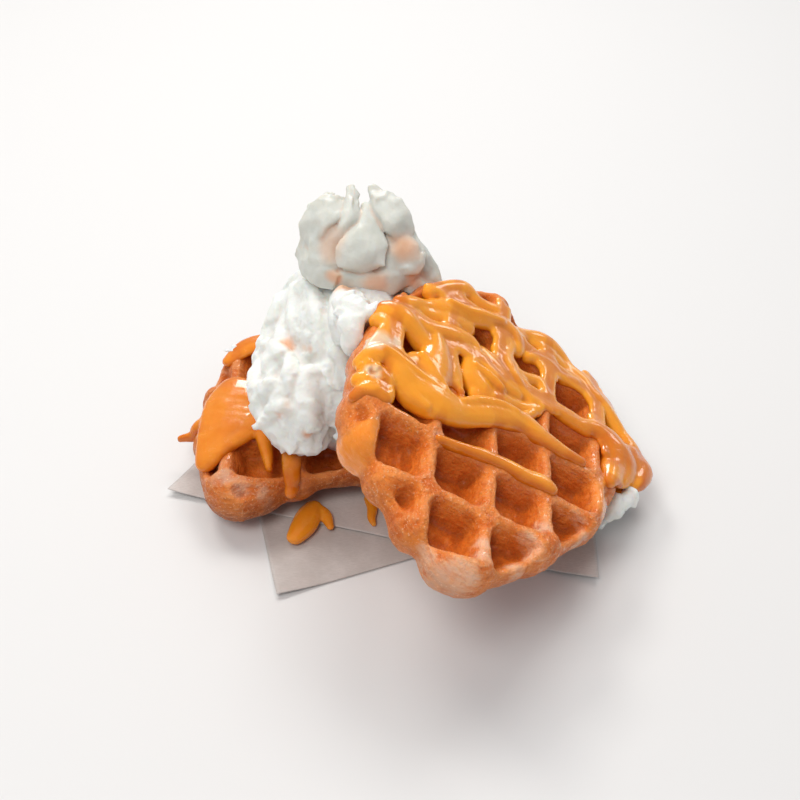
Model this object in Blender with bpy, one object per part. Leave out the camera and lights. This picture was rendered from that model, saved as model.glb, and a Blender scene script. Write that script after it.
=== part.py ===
"""Two waffled croissant-dough pieces with whipped cream and caramel sauce on baking paper.

Metres, +Z up, standing on Z = 0.  Each piece of dough is drawn flat in its own frame, as it
comes out of the iron, then bent a little and laid in its place.  Lengths across and along a
piece are counted in cells of the iron's lattice, with a pocket centred on each whole number.
"""
import math

import bmesh
import bpy
from mathutils import Vector, noise

MM = 0.001
GAP = 0.35 * MM

# Waffle iron
THICKNESS = 14.5 * MM
POCKET_DEPTH = 7.5 * MM
UNDER_DEPTH = 4.0 * MM
FLOOR_EDGE = 0.27
RIDGE_EDGE = 0.42
RIM_FADE = 5.0 * MM
RIM_ROUND = 6.0 * MM
CRAG = 0.55 * MM
CRAG_SIZE = 9.0 * MM
TWIST_REACH = 0.006

# Baking paper
PAPER = 0.5 * MM
PAPER_STEP = PAPER + GAP
PAPER_CURL = 1.5 * MM
PAPER_CURL_REACH = 24.0 * MM
PAPER_CELLS = 9

# Whipped cream
LOBES = 7
RING_STEPS = 2 * LOBES

COLOURS = {
    "croffle_left": ((0.62, 0.20, 0.055, 1.0), 0.55),
    "croffle_right": ((0.68, 0.23, 0.070, 1.0), 0.50),
    "cream_filling": ((0.86, 0.84, 0.78, 1.0), 0.45),
    "cream_mound": ((0.88, 0.87, 0.82, 1.0), 0.45),
    "cream_rosette": ((0.87, 0.85, 0.80, 1.0), 0.45),
    "paper_under": ((0.52, 0.47, 0.44, 1.0), 0.85),
    "paper_over": ((0.60, 0.56, 0.53, 1.0), 0.85),
}


class Place:
    """A piece's own frame: across and along its lattice, and out of its upper face.

    Height is counted from the tops of the ridges, so the dough lies below zero.
    """

    def __init__(self, origin, across, along, pitch, curve, twist):
        self.origin = Vector(origin)
        self.across = Vector(across).normalized()
        along = Vector(along)
        self.along = (along - along.dot(self.across) * self.across).normalized()
        self.out = self.across.cross(self.along)
        self.pitch = pitch
        self.curve = curve
        self.twist = twist

    def world(self, point):
        """Carry a point from the flat drawing to its place in the serving."""
        u, v, w = point
        turn = u * v / (1 + abs(u * v) / TWIST_REACH)
        sag = (self.curve[0] * u * u + self.curve[1] * v * v) / 2 + self.twist * turn
        return self.origin + u * self.across + v * self.along + (w - sag) * self.out


LEFT = Place(
    origin=(-44.6 * MM, -34.5 * MM, 19.0 * MM),
    across=(1.0, 0.0, 0.055),
    along=(-0.03, 1.0, 0.0),
    pitch=22.0 * MM,
    curve=(0.6, 0.8),
    twist=0.0,
)
RIGHT = Place(
    origin=(35.0 * MM, -60.0 * MM, 44.4 * MM),
    across=(0.8373, -0.0792, -0.541),
    along=(0.0838, 0.9963, -0.0161),
    pitch=19.35 * MM,
    curve=(-0.54, 0.17),
    twist=2.7,
)

# Outlines in cells, from the tip nearest the viewer and round through the left side
RIGHT_OUTLINE = [
    (-0.60, -2.72), (-1.30, -2.46), (-1.90, -1.95), (-2.28, -1.45), (-2.78, -0.98),
    (-2.95, 0.00), (-2.78, 1.10), (-2.35, 2.20), (-1.60, 3.05), (-0.75, 3.55),
    (0.20, 3.42), (1.05, 3.40), (1.75, 3.00), (2.20, 2.35), (2.38, 1.60),
    (2.20, 0.90), (1.85, 0.20), (1.62, -0.35), (1.35, -0.90), (0.85, -1.50), (0.15, -2.20),
]
LEFT_OUTLINE = [
    (-0.35, -0.88), (-0.85, -0.40), (-1.05, 0.50), (-1.05, 1.45), (-0.72, 2.35),
    (-0.20, 2.85), (0.70, 3.20), (1.75, 3.00), (2.65, 2.30), (3.00, 1.20),
    (2.75, 0.30), (1.95, -0.10), (1.05, -0.32), (0.40, -0.48), (0.05, -0.72),
]

# Sauce as it was poured: runs of (across, along, half width in millimetres)
RIGHT_SAUCE = [
    [(-3.02, 0.05, 2.5), (-2.50, 0.25, 5.0), (-2.00, 0.32, 9.0), (-1.45, 0.38, 10.5),
     (-0.90, 0.55, 8.0), (-0.30, 0.85, 6.0), (0.30, 0.88, 5.5), (1.15, 0.80, 2.6)],
    [(-1.65, 0.45, 8.0), (-1.62, 1.05, 7.0), (-2.05, 1.50, 5.5), (-2.80, 1.60, 4.5)],
    [(-2.80, 1.55, 4.0), (-2.62, 1.00, 4.0), (-2.50, 0.45, 3.0)],
    [(-1.05, 0.90, 6.0), (-0.72, 1.38, 8.5), (-0.50, 1.95, 5.5), (-0.52, 2.60, 5.0)],
    [(-0.62, 1.60, 2.6), (-0.05, 1.36, 2.4), (0.45, 1.10, 3.0)],
    [(-1.50, -0.58, 1.6), (-0.80, -0.49, 2.0), (-0.10, -0.40, 2.2), (0.50, -0.38, 3.4)],
    [(0.30, 1.38, 2.4), (1.00, 1.50, 3.6), (1.72, 1.52, 5.6), (1.92, 1.10, 5.8), (1.85, 0.72, 4.0)],
    [(-2.30, 1.70, 4.0), (-1.55, 1.95, 5.5), (-0.80, 2.20, 5.0), (-0.30, 2.42, 4.5)],
    [(-1.95, 2.55, 4.0), (-1.10, 2.85, 5.0), (-0.20, 3.00, 4.5), (0.75, 3.20, 4.5)],
    [(0.40, 3.00, 5.0), (1.40, 2.80, 4.4), (1.85, 2.35, 3.6), (2.20, 1.85, 3.6), (2.46, 1.12, 5.0)],
    [(-0.35, 2.40, 3.5), (-0.02, 1.95, 3.6), (0.55, 1.75, 2.6)],
    [(-2.98, -0.50, 3.4), (-2.60, -0.32, 4.0), (-2.35, -0.18, 2.4)],
    [(-2.30, -1.00, 2.4), (-2.65, -1.15, 4.4), (-2.62, -1.50, 3.6)],
    [(1.48, 0.36, 2.6), (1.50, -0.25, 3.6)],
]
LEFT_SAUCE = [
    [(-0.20, 1.20, 6.0), (-0.62, 1.00, 10.0), (-0.80, 0.55, 7.5), (-0.90, 0.05, 4.5)],
    [(-0.15, 0.85, 6.0), (-0.35, 0.55, 5.0), (-0.75, 0.35, 4.0)],
    [(-0.52, 2.45, 3.5), (-0.20, 2.55, 5.0), (0.10, 2.35, 4.0)],
    [(-0.95, 0.52, 2.6), (-1.30, 0.55, 0.9)],
    [(-0.01, 0.55, 2.4), (0.00, -0.12, 1.7)],
    [(0.42, 0.35, 3.2), (0.42, -0.25, 2.9), (0.42, -0.72, 2.4)],
]
SAUCE_SINK = 2.2 * MM
SAUCE_RISE = 0.42

# Cream, in millimetres: the middle and radius of each ring of the poured mound
MOUND_RINGS = [
    ((-29.0, -38.5, 24.0), 6.0), ((-32.0, -31.0, 31.0), 13.5), ((-32.5, -20.0, 37.0), 16.0),
    ((-28.5, -8.0, 43.5), 14.0), ((-25.0, 1.0, 50.0), 13.0), ((-21.0, 5.0, 54.0), 13.0),
    ((-16.0, 7.0, 57.0), 11.0),
]
MOUND_LUMPS = [
    ((-17.0, -4.0, 33.0), (25.0, 30.0, 32.0)),
    ((-14.0, -16.0, 58.0), (12.0, 14.0, 13.0)),
    ((-15.5, -28.0, 71.0), (11.5, 11.0, 10.0)),
]
MOUND_FLUTE = 0.16
ROSETTE_FOOT = (-6.5, 2.0, 56.0)
ROSETTE_TOP = (-18.5, 8.0, 83.5)
ROSETTE_RADII = [18.0, 22.0, 22.5, 20.5, 18.5, 17.0, 12.0]
ROSETTE_FLUTE = 0.24
ROSETTE_PEAK = 1.6
ROSETTE_DIMPLE = 4.0
FILLING_PLAN = [
    (77.0, -38.0), (72.0, -46.0), (63.0, -48.0), (50.0, -38.0), (36.0, -22.0), (30.0, -2.0),
    (42.0, 12.0), (60.0, 4.0), (73.0, -14.0),
]

# Paper corners in millimetres, from the corner at the left and round by the front
PAPER_UNDER = [(-55.0, -4.0), (-38.0, -76.8), (57.0, -41.0), (40.0, 30.0)]
PAPER_OVER = [(-76.3, -33.4), (60.5, -70.9), (64.0, -6.0), (-46.0, 20.0)]
DRIPS = [
    [(-29.2, -42.5, 2.4), (-29.8, -46.5, 3.1), (-31.3, -50.5, 3.1), (-34.0, -54.5, 2.4)],
    [(-28.0, -42.5, 1.8), (-25.0, -44.5, 1.8), (-22.8, -49.5, 1.2)],
]


def clear_scene():
    """Start from an empty scene."""
    for item in list(bpy.data.objects):
        bpy.data.objects.remove(item, do_unlink=True)


def object_from(name, bm):
    """Close the bmesh into a named object whose faces point out."""
    bmesh.ops.recalc_face_normals(bm, faces=bm.faces)
    mesh = bpy.data.meshes.new(name)
    bm.to_mesh(mesh)
    bm.free()
    item = bpy.data.objects.new(name, mesh)
    bpy.context.scene.collection.objects.link(item)
    return item


def smooth_path(points, steps, closed=False):
    """Points on a smooth curve through the given ones, steps to each stretch."""
    count = len(points)
    rows = [Vector(p) for p in points]
    result = []
    for i in range(count if closed else count - 1):
        if closed:
            a, b, c, d = (rows[(i + k) % count] for k in (-1, 0, 1, 2))
        else:
            a, b, c, d = (rows[min(max(i + k, 0), count - 1)] for k in (-1, 0, 1, 2))
        for step in range(steps):
            t = step / steps
            result.append(
                0.5 * (2 * b + (c - a) * t + (2 * a - 5 * b + 4 * c - d) * t * t
                       + (3 * b - a - 3 * c + d) * t ** 3)
            )
    if not closed:
        result.append(rows[-1])
    return result


def loft(name, rings):
    """A closed skin over rings of equal length, with a point in the middle of each end."""
    bm = bmesh.new()
    rows = [[bm.verts.new(p) for p in ring] for ring in rings]
    for low, high in zip(rows, rows[1:]):
        for i in range(len(low)):
            k = (i + 1) % len(low)
            bm.faces.new((low[i], low[k], high[k], high[i]))
    for ring in (rows[0], rows[-1]):
        middle = bm.verts.new(sum((v.co for v in ring), Vector()) / len(ring))
        for i in range(len(ring)):
            bm.faces.new((ring[i], ring[(i + 1) % len(ring)], middle))
    return object_from(name, bm)


def applied(item):
    """Replace an object's mesh by what its modifiers make of it."""
    depsgraph = bpy.context.evaluated_depsgraph_get()
    mesh = bpy.data.meshes.new_from_object(item.evaluated_get(depsgraph))
    item.modifiers.clear()
    item.data = mesh


def triangulate(item):
    """Split every face into triangles, so that no two later splits share an edge."""
    bm = bmesh.new()
    bm.from_mesh(item.data)
    bmesh.ops.triangulate(bm, faces=bm.faces)
    bm.to_mesh(item.data)
    bm.free()


def swell(items, distance):
    """Move every face of some closed bodies outwards by a distance."""
    for item in items:
        bm = bmesh.new()
        bm.from_mesh(item.data)
        bm.normal_update()
        moves = [vert.normal * min(vert.calc_shell_factor(), 2.5) for vert in bm.verts]
        for vert, move in zip(bm.verts, moves):
            vert.co += move * distance
        bm.to_mesh(item.data)
        bm.free()
    return items


def boolean(item, operands, operation):
    """Join or cut an object with a whole collection at once, then remove the collection."""
    group = bpy.data.collections.new("operands")
    for other in operands:
        triangulate(other)
        group.objects.link(other)
    triangulate(item)
    modifier = item.modifiers.new(operation, "BOOLEAN")
    modifier.operation = operation
    modifier.solver = "MANIFOLD"
    modifier.operand_type = "COLLECTION"
    modifier.collection = group
    applied(item)
    for other in operands:
        bpy.data.objects.remove(other, do_unlink=True)
    bpy.data.collections.remove(group)


def keep_largest(item):
    """Drop loose scraps and leave one closed body of triangles."""
    bm = bmesh.new()
    bm.from_mesh(item.data)
    bmesh.ops.triangulate(bm, faces=bm.faces)
    seen = set()
    islands = []
    for start in bm.verts:
        if start in seen:
            continue
        stack = [start]
        island = []
        seen.add(start)
        while stack:
            vert = stack.pop()
            island.append(vert)
            for edge in vert.link_edges:
                other = edge.other_vert(vert)
                if other not in seen:
                    seen.add(other)
                    stack.append(other)
        islands.append(island)
    islands.sort(key=len)
    for island in islands[:-1]:
        bmesh.ops.delete(bm, geom=island, context="VERTS")
    bmesh.ops.recalc_face_normals(bm, faces=bm.faces)
    bm.to_mesh(item.data)
    bm.free()


def outline_of(corners, pitch, steps=3):
    """A piece's smooth outline in metres."""
    flat = [(u * pitch, v * pitch, 0.0) for u, v in corners]
    return smooth_path(flat, steps, closed=True)


def inset(ring, distance):
    """The outline moved inwards by a distance, or outwards by a negative one."""
    middle = sum(ring, Vector()) / len(ring)
    result = []
    for i, point in enumerate(ring):
        along = ring[(i + 1) % len(ring)] - ring[i - 1]
        side = Vector((-along.y, along.x, 0.0)).normalized()
        if side.dot(middle - point) < 0:
            side = -side
        result.append(point + side * distance)
    return result


def edge_distance(ring, u, v):
    """How far a point lies inside the outline, negative outside."""
    nearest = math.inf
    inside = False
    for a, b in zip(ring, ring[1:] + ring[:1]):
        du, dv = b.x - a.x, b.y - a.y
        t = max(0.0, min(1.0, ((u - a.x) * du + (v - a.y) * dv) / (du * du + dv * dv)))
        nearest = min(nearest, math.hypot(a.x + t * du - u, a.y + t * dv - v))
        if (a.y > v) != (b.y > v) and u < a.x + (v - a.y) * du / dv:
            inside = not inside
    return nearest if inside else -nearest


def pocket(t):
    """How far down a pocket goes at a place across the lattice, 0 on a ridge and 1 on a floor."""
    away = abs(t - round(t))
    return max(0.0, min(1.0, (RIDGE_EDGE - away) / (RIDGE_EDGE - FLOOR_EDGE)))


def puck(name, place, corners):
    """The piece's body without its pockets: its outline with a fully rounded rim."""
    ring = outline_of(corners, place.pitch)
    half = THICKNESS / 2
    rings = []
    for degrees in (-80, -52, -22, 12, 44, 78):
        angle = math.radians(degrees)
        step_in = RIM_ROUND * (1 - math.cos(angle))
        height = -half + (half + 0.6 * MM) * math.sin(angle)
        rings.append([Vector((p.x, p.y, height)) for p in inset(ring, step_in)])
    return loft(name, rings)


def lattice_lines(low, high, pitch):
    """The lines where a pocket's floor and the ridges beside it begin."""
    offsets = (-RIDGE_EDGE, -FLOOR_EDGE, FLOOR_EDGE, RIDGE_EDGE)
    return [(i + t) * pitch for i in range(low, high + 1) for t in offsets]


def mitre_pockets(bm):
    """Split each quad from the corner that stands out, so that a pocket's corners are mitred."""
    for face in list(bm.faces):
        heights = [vert.co.z for vert in face.verts]
        middle = sorted(heights)[1:3]
        level = sum(middle) / 2
        odd = max(range(4), key=lambda k: abs(heights[k] - level))
        bmesh.utils.face_split(face, face.verts[odd], face.verts[(odd + 2) % 4])


def waffle(name, place, corners):
    """A piece of pressed dough: ridges and pockets on both faces, trimmed to a rounded rim."""
    ring = outline_of(corners, place.pitch)
    columns = [u for u, v in corners]
    rows = [v for u, v in corners]
    lines_u = lattice_lines(math.floor(min(columns)), math.ceil(max(columns)), place.pitch)
    lines_v = lattice_lines(math.floor(min(rows)), math.ceil(max(rows)), place.pitch)
    bm = bmesh.new()
    bmesh.ops.create_grid(bm, x_segments=len(lines_u) - 1, y_segments=len(lines_v) - 1, size=1.0)
    for vert in bm.verts:
        i = round((vert.co.x + 1) / 2 * (len(lines_u) - 1))
        j = round((vert.co.y + 1) / 2 * (len(lines_v) - 1))
        vert.co = (lines_u[i], lines_v[j], 0.0)
    top = set(bm.verts)
    sheet = list(bm.faces)
    bmesh.ops.extrude_face_region(bm, geom=sheet + list(bm.edges) + list(bm.verts), use_keep_orig=True)
    for vert in bm.verts:
        u, v, _ = vert.co
        inside = edge_distance(ring, u, v)
        fade = max(0.0, min(1.0, inside / RIM_FADE - 0.2))
        sunk = pocket(u / place.pitch) * pocket(v / place.pitch) * fade
        crag = CRAG * noise.noise(vert.co / CRAG_SIZE)
        if vert in top:
            vert.co.z = -POCKET_DEPTH * sunk + crag
        else:
            vert.co.z = -THICKNESS + UNDER_DEPTH * sunk + crag
    mitre_pockets(bm)
    piece = object_from(name, bm)
    body = puck(name + "_rim", place, corners)
    boolean(piece, [body], "INTERSECT")
    return piece


def sauce_run(name, place, run):
    """One run of thick sauce along a smooth path over the ridges."""
    path = smooth_path([(u * place.pitch, v * place.pitch, r * MM) for u, v, r in run], 2)
    return bead(name, path, -SAUCE_SINK)


def bead(name, path, floor):
    """A domed bead on a level floor, along a path of (across, along, half width)."""
    sides = 8
    rings = []
    last = len(path) - 1
    for i, (x, y, width) in enumerate(path):
        before, after = path[max(i - 1, 0)], path[min(i + 1, last)]
        heading = Vector((after[0] - before[0], after[1] - before[1], 0.0)).normalized()
        side = Vector((-heading.y, heading.x, 0.0))
        height = SAUCE_SINK + SAUCE_RISE * width + 1.0 * MM
        ring = []
        for k in range(sides):
            angle = 2 * math.pi * (k + 0.5) / sides
            rise = max(math.sin(angle), -0.25)
            ring.append(Vector((x, y, floor + height * rise / 0.92)) + side * width * math.cos(angle))
        rings.append(ring)
    ends = []
    for ring, push in ((rings[0], -1), (rings[-1], 1)):
        near, far = (rings[0], rings[1]) if push < 0 else (rings[-1], rings[-2])
        middle = sum(near, Vector()) / sides
        onward = (middle - sum(far, Vector()) / sides).normalized()
        width = (near[0] - near[3]).length / 2
        ends.append([middle + (p - middle) * 0.55 + onward * width * 0.75 for p in ring])
    return loft(name, [ends[0]] + rings + [ends[1]])


def lay(item, place):
    """Bend a flat piece and lay it in its place."""
    for vert in item.data.vertices:
        vert.co = place.world(vert.co)


def dough_piece(name, place, corners, runs):
    """A waffled piece with its thick sauce fused on."""
    piece = waffle(name, place, corners)
    beads = [sauce_run(f"{name}_run_{i}", place, run) for i, run in enumerate(runs)]
    boolean(piece, beads, "UNION")
    keep_largest(piece)
    lay(piece, place)
    return piece


def keep_out(name, place, corners, runs):
    """What the cream has to stay clear of: a piece's body and sauce, a gap larger all round."""
    items = [puck(name, place, corners)]
    items += [sauce_run(f"{name}_{i}", place, run) for i, run in enumerate(runs)]
    for item in items:
        lay(item, place)
    return swell(items, GAP)


def flute(index, seed, depth):
    """The scale of one point of a piped section: a sharp crest or the groove beside it."""
    uneven = 0.5 * noise.noise(Vector((index * 1.7, seed * 3.1, 0.4)))
    if index % 2:
        return 1.0 - depth * (1.0 + uneven)
    return 1.0 + depth * uneven


def piped(name, rings, depth, turn, seed, axis=None, peak=0.0):
    """A piped body: fluted sections of (middle, radius) along a path, turning as they go.

    The sections stand square to the path, or to one axis.  The crests of the last section
    but two stand up by the peak, and its grooves dip by it.
    """
    points = smooth_path([Vector((*middle, radius)) for middle, radius in rings], 2)
    sections = []
    last = len(points) - 1
    for i, (x, y, z, radius) in enumerate(points):
        before, after = points[max(i - 1, 0)], points[min(i + 1, last)]
        heading = axis or (after - before).xyz.normalized()
        side = heading.cross(Vector((0.0, 0.0, 1.0))).normalized()
        upward = side.cross(heading)
        ring = []
        for k in range(RING_STEPS):
            angle = 2 * math.pi * k / RING_STEPS + turn * i
            reach = radius * flute(k, seed + i * 0.15, depth) * MM
            stand = 0.0
            if i == last - 2:
                stand = peak * MM * (-1.0 if k % 2 else 1.0 + noise.noise(Vector((k, seed, 0.0))))
            ring.append(Vector((x, y, z)) * MM + heading * stand
                        + side * reach * math.cos(angle) + upward * reach * math.sin(angle))
        sections.append(ring)
    return loft(name, sections)


def lump(name, middle, radii):
    """A plain rounded lump of cream."""
    bm = bmesh.new()
    bmesh.ops.create_icosphere(bm, subdivisions=3, radius=1.0)
    for vert in bm.verts:
        rough = 1.0 + 0.10 * noise.noise(vert.co * 2.3)
        for axis in range(3):
            vert.co[axis] = (middle[axis] + vert.co[axis] * radii[axis] * rough) * MM
    return object_from(name, bm)


def swirl(name):
    """The swirl on top: a deeply fluted dome whose flutes lean over as they rise."""
    foot, top = Vector(ROSETTE_FOOT), Vector(ROSETTE_TOP)
    count = len(ROSETTE_RADII)
    rings = [
        (tuple(foot.lerp(top, i / (count - 1))), radius) for i, radius in enumerate(ROSETTE_RADII)
    ]
    axis = (top - foot).normalized()
    rings.append((tuple(top - ROSETTE_DIMPLE * axis), ROSETTE_DIMPLE))
    return piped(name, rings, ROSETTE_FLUTE, 0.09, 5.0, axis, ROSETTE_PEAK)


def mound_parts(name):
    """The cream under the swirl: a fluted run down to the front, on plain lumps."""
    run = piped(name, MOUND_RINGS, MOUND_FLUTE, 0.05, 2.0)
    return [run] + [lump(f"{name}_{i}", *shape) for i, shape in enumerate(MOUND_LUMPS)]


def underside(x, y, depth):
    """The height of a level inside the leaning piece, over a place on the ground."""
    height = 0.0
    sag = 0.0
    for _ in range(4):
        flat = Vector((x, y, 0.0)) - RIGHT.origin
        height = (-depth - sag - flat.x * RIGHT.out.x - flat.y * RIGHT.out.y) / RIGHT.out.z
        spot = Vector((flat.x, flat.y, height))
        u, v = spot.dot(RIGHT.across), spot.dot(RIGHT.along)
        sag = (RIGHT.world((u, v, 0.0)) - RIGHT.origin).dot(RIGHT.out) * -1
    return RIGHT.origin.z + height


def filling(name):
    """The cream between the leaning piece and the paper, bulging out at the low side."""
    plan = smooth_path([(x * MM, y * MM, 0.0) for x, y in FILLING_PLAN], 3, closed=True)
    floor = 2 * PAPER_STEP + 0.2 * MM
    levels = 4
    rings = []
    for level in range(levels + 1):
        t = level / levels
        step_in = 2.5 * MM * (2 * t - 1) ** 2
        row = []
        for p in inset(plan, step_in):
            ceiling = max(underside(p.x, p.y, 0.7 * THICKNESS), floor + 4.0 * MM)
            row.append(Vector((p.x, p.y, floor + (ceiling - floor) * t)))
        rings.append(row)
    return loft(name, rings)


def paper(name, corners, base, curled):
    """A thin sheet of paper, level but for the corners that curl up."""
    a, b, c, d = (Vector((x * MM, y * MM, 0.0)) for x, y in corners)
    bm = bmesh.new()
    bmesh.ops.create_grid(bm, x_segments=PAPER_CELLS, y_segments=PAPER_CELLS, size=1.0)
    for vert in bm.verts:
        s, t = (vert.co.x + 1) / 2, (vert.co.y + 1) / 2
        spot = a.lerp(b, s).lerp(d.lerp(c, s), t)
        lift = 0.0
        for index in curled:
            near = 1 - (spot - (a, b, c, d)[index]).length / PAPER_CURL_REACH
            lift += PAPER_CURL * max(0.0, near) ** 2
        vert.co = (spot.x, spot.y, base + lift)
    bmesh.ops.solidify(bm, geom=bm.faces, thickness=PAPER)
    return object_from(name, bm)


def material(name):
    """A plain glossy or matt finish in the piece's own colour."""
    colour, roughness = COLOURS[name]
    finish = bpy.data.materials.new(name)
    finish.use_nodes = True
    shader = finish.node_tree.nodes["Principled BSDF"]
    shader.inputs["Base Color"].default_value = colour
    shader.inputs["Roughness"].default_value = roughness
    shader.inputs["Metallic"].default_value = 0.0
    return finish


def centre(items):
    """Move everything so that the origin is under the middle of the whole serving."""
    points = [vert.co for item in items for vert in item.data.vertices]
    low = [min(p[axis] for p in points) for axis in range(3)]
    high = [max(p[axis] for p in points) for axis in range(3)]
    shift = Vector((-(low[0] + high[0]) / 2, -(low[1] + high[1]) / 2, -low[2]))
    for item in items:
        for vert in item.data.vertices:
            vert.co += shift
    print("centred by", [round(value / MM, 3) for value in shift])
    print("size", [round((b - a) / MM, 1) for a, b in zip(low, high)])


def main():
    """Build every piece."""
    clear_scene()
    left = dough_piece("croffle_left", LEFT, LEFT_OUTLINE, LEFT_SAUCE)
    right = dough_piece("croffle_right", RIGHT, RIGHT_OUTLINE, RIGHT_SAUCE)

    rosette = swirl("cream_rosette")
    boolean(rosette, keep_out("right_room", RIGHT, RIGHT_OUTLINE, RIGHT_SAUCE), "DIFFERENCE")
    keep_largest(rosette)

    mound, *lumps = mound_parts("cream_mound")
    boolean(mound, lumps, "UNION")
    room = keep_out("right_room", RIGHT, RIGHT_OUTLINE, RIGHT_SAUCE)
    room += keep_out("left_room", LEFT, LEFT_OUTLINE, LEFT_SAUCE)
    room += swell([swirl("rosette_room")], GAP)
    boolean(mound, room, "DIFFERENCE")
    keep_largest(mound)

    under_right = filling("cream_filling")
    room = keep_out("right_room", RIGHT, RIGHT_OUTLINE, RIGHT_SAUCE)
    room += keep_out("left_room", LEFT, LEFT_OUTLINE, LEFT_SAUCE)
    room += swell(mound_parts("mound_room"), GAP)
    boolean(under_right, room, "DIFFERENCE")
    keep_largest(under_right)

    lower = paper("paper_under", PAPER_UNDER, 0.0, [1])
    upper = paper("paper_over", PAPER_OVER, PAPER_STEP, [0, 1])
    drips = []
    for index, run in enumerate(DRIPS):
        path = smooth_path([(x * MM, y * MM, r * MM) for x, y, r in run], 2)
        drips.append(bead(f"drip_{index}", path, PAPER_STEP + 0.9 * MM))
    boolean(upper, drips, "UNION")
    keep_largest(upper)
    keep_largest(lower)

    items = [left, right, rosette, mound, under_right, lower, upper]
    for item in items:
        item.data.materials.clear()
        item.data.materials.append(material(item.name))
        item.data.shade_smooth()
        item.data.set_sharp_from_angle(angle=math.radians(38))
        print(item.name, "triangles", len(item.data.polygons))
    centre(items)


main()
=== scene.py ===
# %% [markdown]
# # Waffled croissant dough with whipped cream and caramel
# Two pieces of croissant dough were pressed in a waffle iron.  One lies flat on baking
# paper, the other leans on it and on a heap of whipped cream, and caramel runs over both.
# The solids give every piece its place.  This lesson rebuilds each piece finely over its
# solid: pressed dough, thick sauce, torn cream, thin paper, and then their finishes.

import math

import bmesh
import bpy
import numpy as np
from mathutils import Matrix, Vector


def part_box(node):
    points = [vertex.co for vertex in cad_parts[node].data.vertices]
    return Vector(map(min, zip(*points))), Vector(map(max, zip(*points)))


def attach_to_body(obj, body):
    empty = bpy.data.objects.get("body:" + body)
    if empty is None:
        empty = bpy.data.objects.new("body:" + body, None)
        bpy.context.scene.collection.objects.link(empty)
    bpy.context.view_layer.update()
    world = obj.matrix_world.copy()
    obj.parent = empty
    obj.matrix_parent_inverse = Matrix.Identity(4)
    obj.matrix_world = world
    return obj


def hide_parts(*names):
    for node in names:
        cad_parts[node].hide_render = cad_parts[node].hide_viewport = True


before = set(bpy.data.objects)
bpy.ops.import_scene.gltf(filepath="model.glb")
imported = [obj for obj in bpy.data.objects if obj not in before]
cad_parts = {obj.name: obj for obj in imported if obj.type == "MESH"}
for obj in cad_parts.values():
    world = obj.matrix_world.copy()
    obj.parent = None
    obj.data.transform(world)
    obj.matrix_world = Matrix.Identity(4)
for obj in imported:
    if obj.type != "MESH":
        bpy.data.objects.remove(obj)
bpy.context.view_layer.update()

# %% [markdown]
# The solids were drawn round a point on the floor and then centred.  The lower sheet of
# paper tells how far they were moved: its left corner was drawn at x = -55 mm, its front
# corner at y = -76.8 mm and its underside at z = -0.5 mm.  Everything below is drawn in
# the same millimetres and moved by the same amount.

# %% From the drawing to the frame
MM = 0.001
sheet_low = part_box("paper_under")[0]
SHEET_DRAWN = (55.0, 76.8, 0.5)
SHIFT = np.array([low + drawn * MM for low, drawn in zip(sheet_low, SHEET_DRAWN)])
print("moved by", np.round(SHIFT / MM, 3), "mm")

# %% [markdown]
# ## The camera
# It looks down at 43 degrees from half a metre away.  Seen from there, the lattice of the
# dough and the corners of the paper lie where they do in the photograph.

# %% The camera
CAMERA_TILT = 0.751036
CAMERA_AWAY = 0.5
CAMERA_AIM = (-0.000468769, 0.0111628681)
LENS = 64.334

lens = bpy.data.cameras.new("camera")
lens.sensor_width = 36.0
lens.lens = LENS
lens.clip_start = 0.01
camera = bpy.data.objects.new("camera", lens)
bpy.context.scene.collection.objects.link(camera)
camera.location = Vector((
    CAMERA_AIM[0],
    CAMERA_AIM[1] - CAMERA_AWAY * math.cos(CAMERA_TILT),
    CAMERA_AWAY * math.sin(CAMERA_TILT),
)) + Vector(SHIFT)
camera.rotation_euler = (math.pi / 2 - CAMERA_TILT, 0.0, 0.0)
bpy.context.scene.camera = camera
print("camera at", [round(v, 3) for v in camera.location])

# %% [markdown]
# ## Floor and light
# A pale floor under soft lamps.  One above and behind at the left shapes the folds, and
# three wide ones open the shadows.  These four don't show in the gloss.  A wide lamp
# behind, like a window, draws the broad highlights on the sauce, and one at the side adds
# those on its crests.  These two show in the gloss alone.

# %% Floor and light
FLOOR_SIZE = 4.0
FLOOR_DROP = 0.2 * MM
FLOOR_COLOUR = (0.74, 0.73, 0.72, 1.0)
FLOOR_ROUGHNESS = 0.7
ROOM_COLOUR = (0.93, 0.95, 1.0, 1.0)
ROOM_STRENGTH = 0.38
WARM, WHITE, COOL = (1.0, 0.97, 0.93), (1.0, 0.99, 0.97), (0.97, 0.99, 1.0)
LAMPS = [
    # Name, place, width, height, power, colour, and the light that it leaves out.
    ("lamp_back", (-0.34, 0.40, 0.80), 0.30, 0.30, 3.1, WARM, "visible_glossy"),
    ("lamp_sky", (0.15, 0.46, 0.90), 0.50, 0.40, 3.8, WHITE, "visible_glossy"),
    ("lamp_window", (0.02, 0.95, 0.52), 0.46, 0.24, 4.6, WHITE, "visible_diffuse"),
    ("lamp_side", (0.66, 0.70, 0.34), 0.20, 0.16, 0.6, WHITE, "visible_diffuse"),
    ("lamp_front", (-0.26, -0.46, 0.86), 0.40, 0.40, 3.8, WHITE, "visible_glossy"),
    ("lamp_left", (-0.80, 0.10, 0.50), 0.50, 0.50, 0.4, COOL, "visible_glossy"),
]


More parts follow.
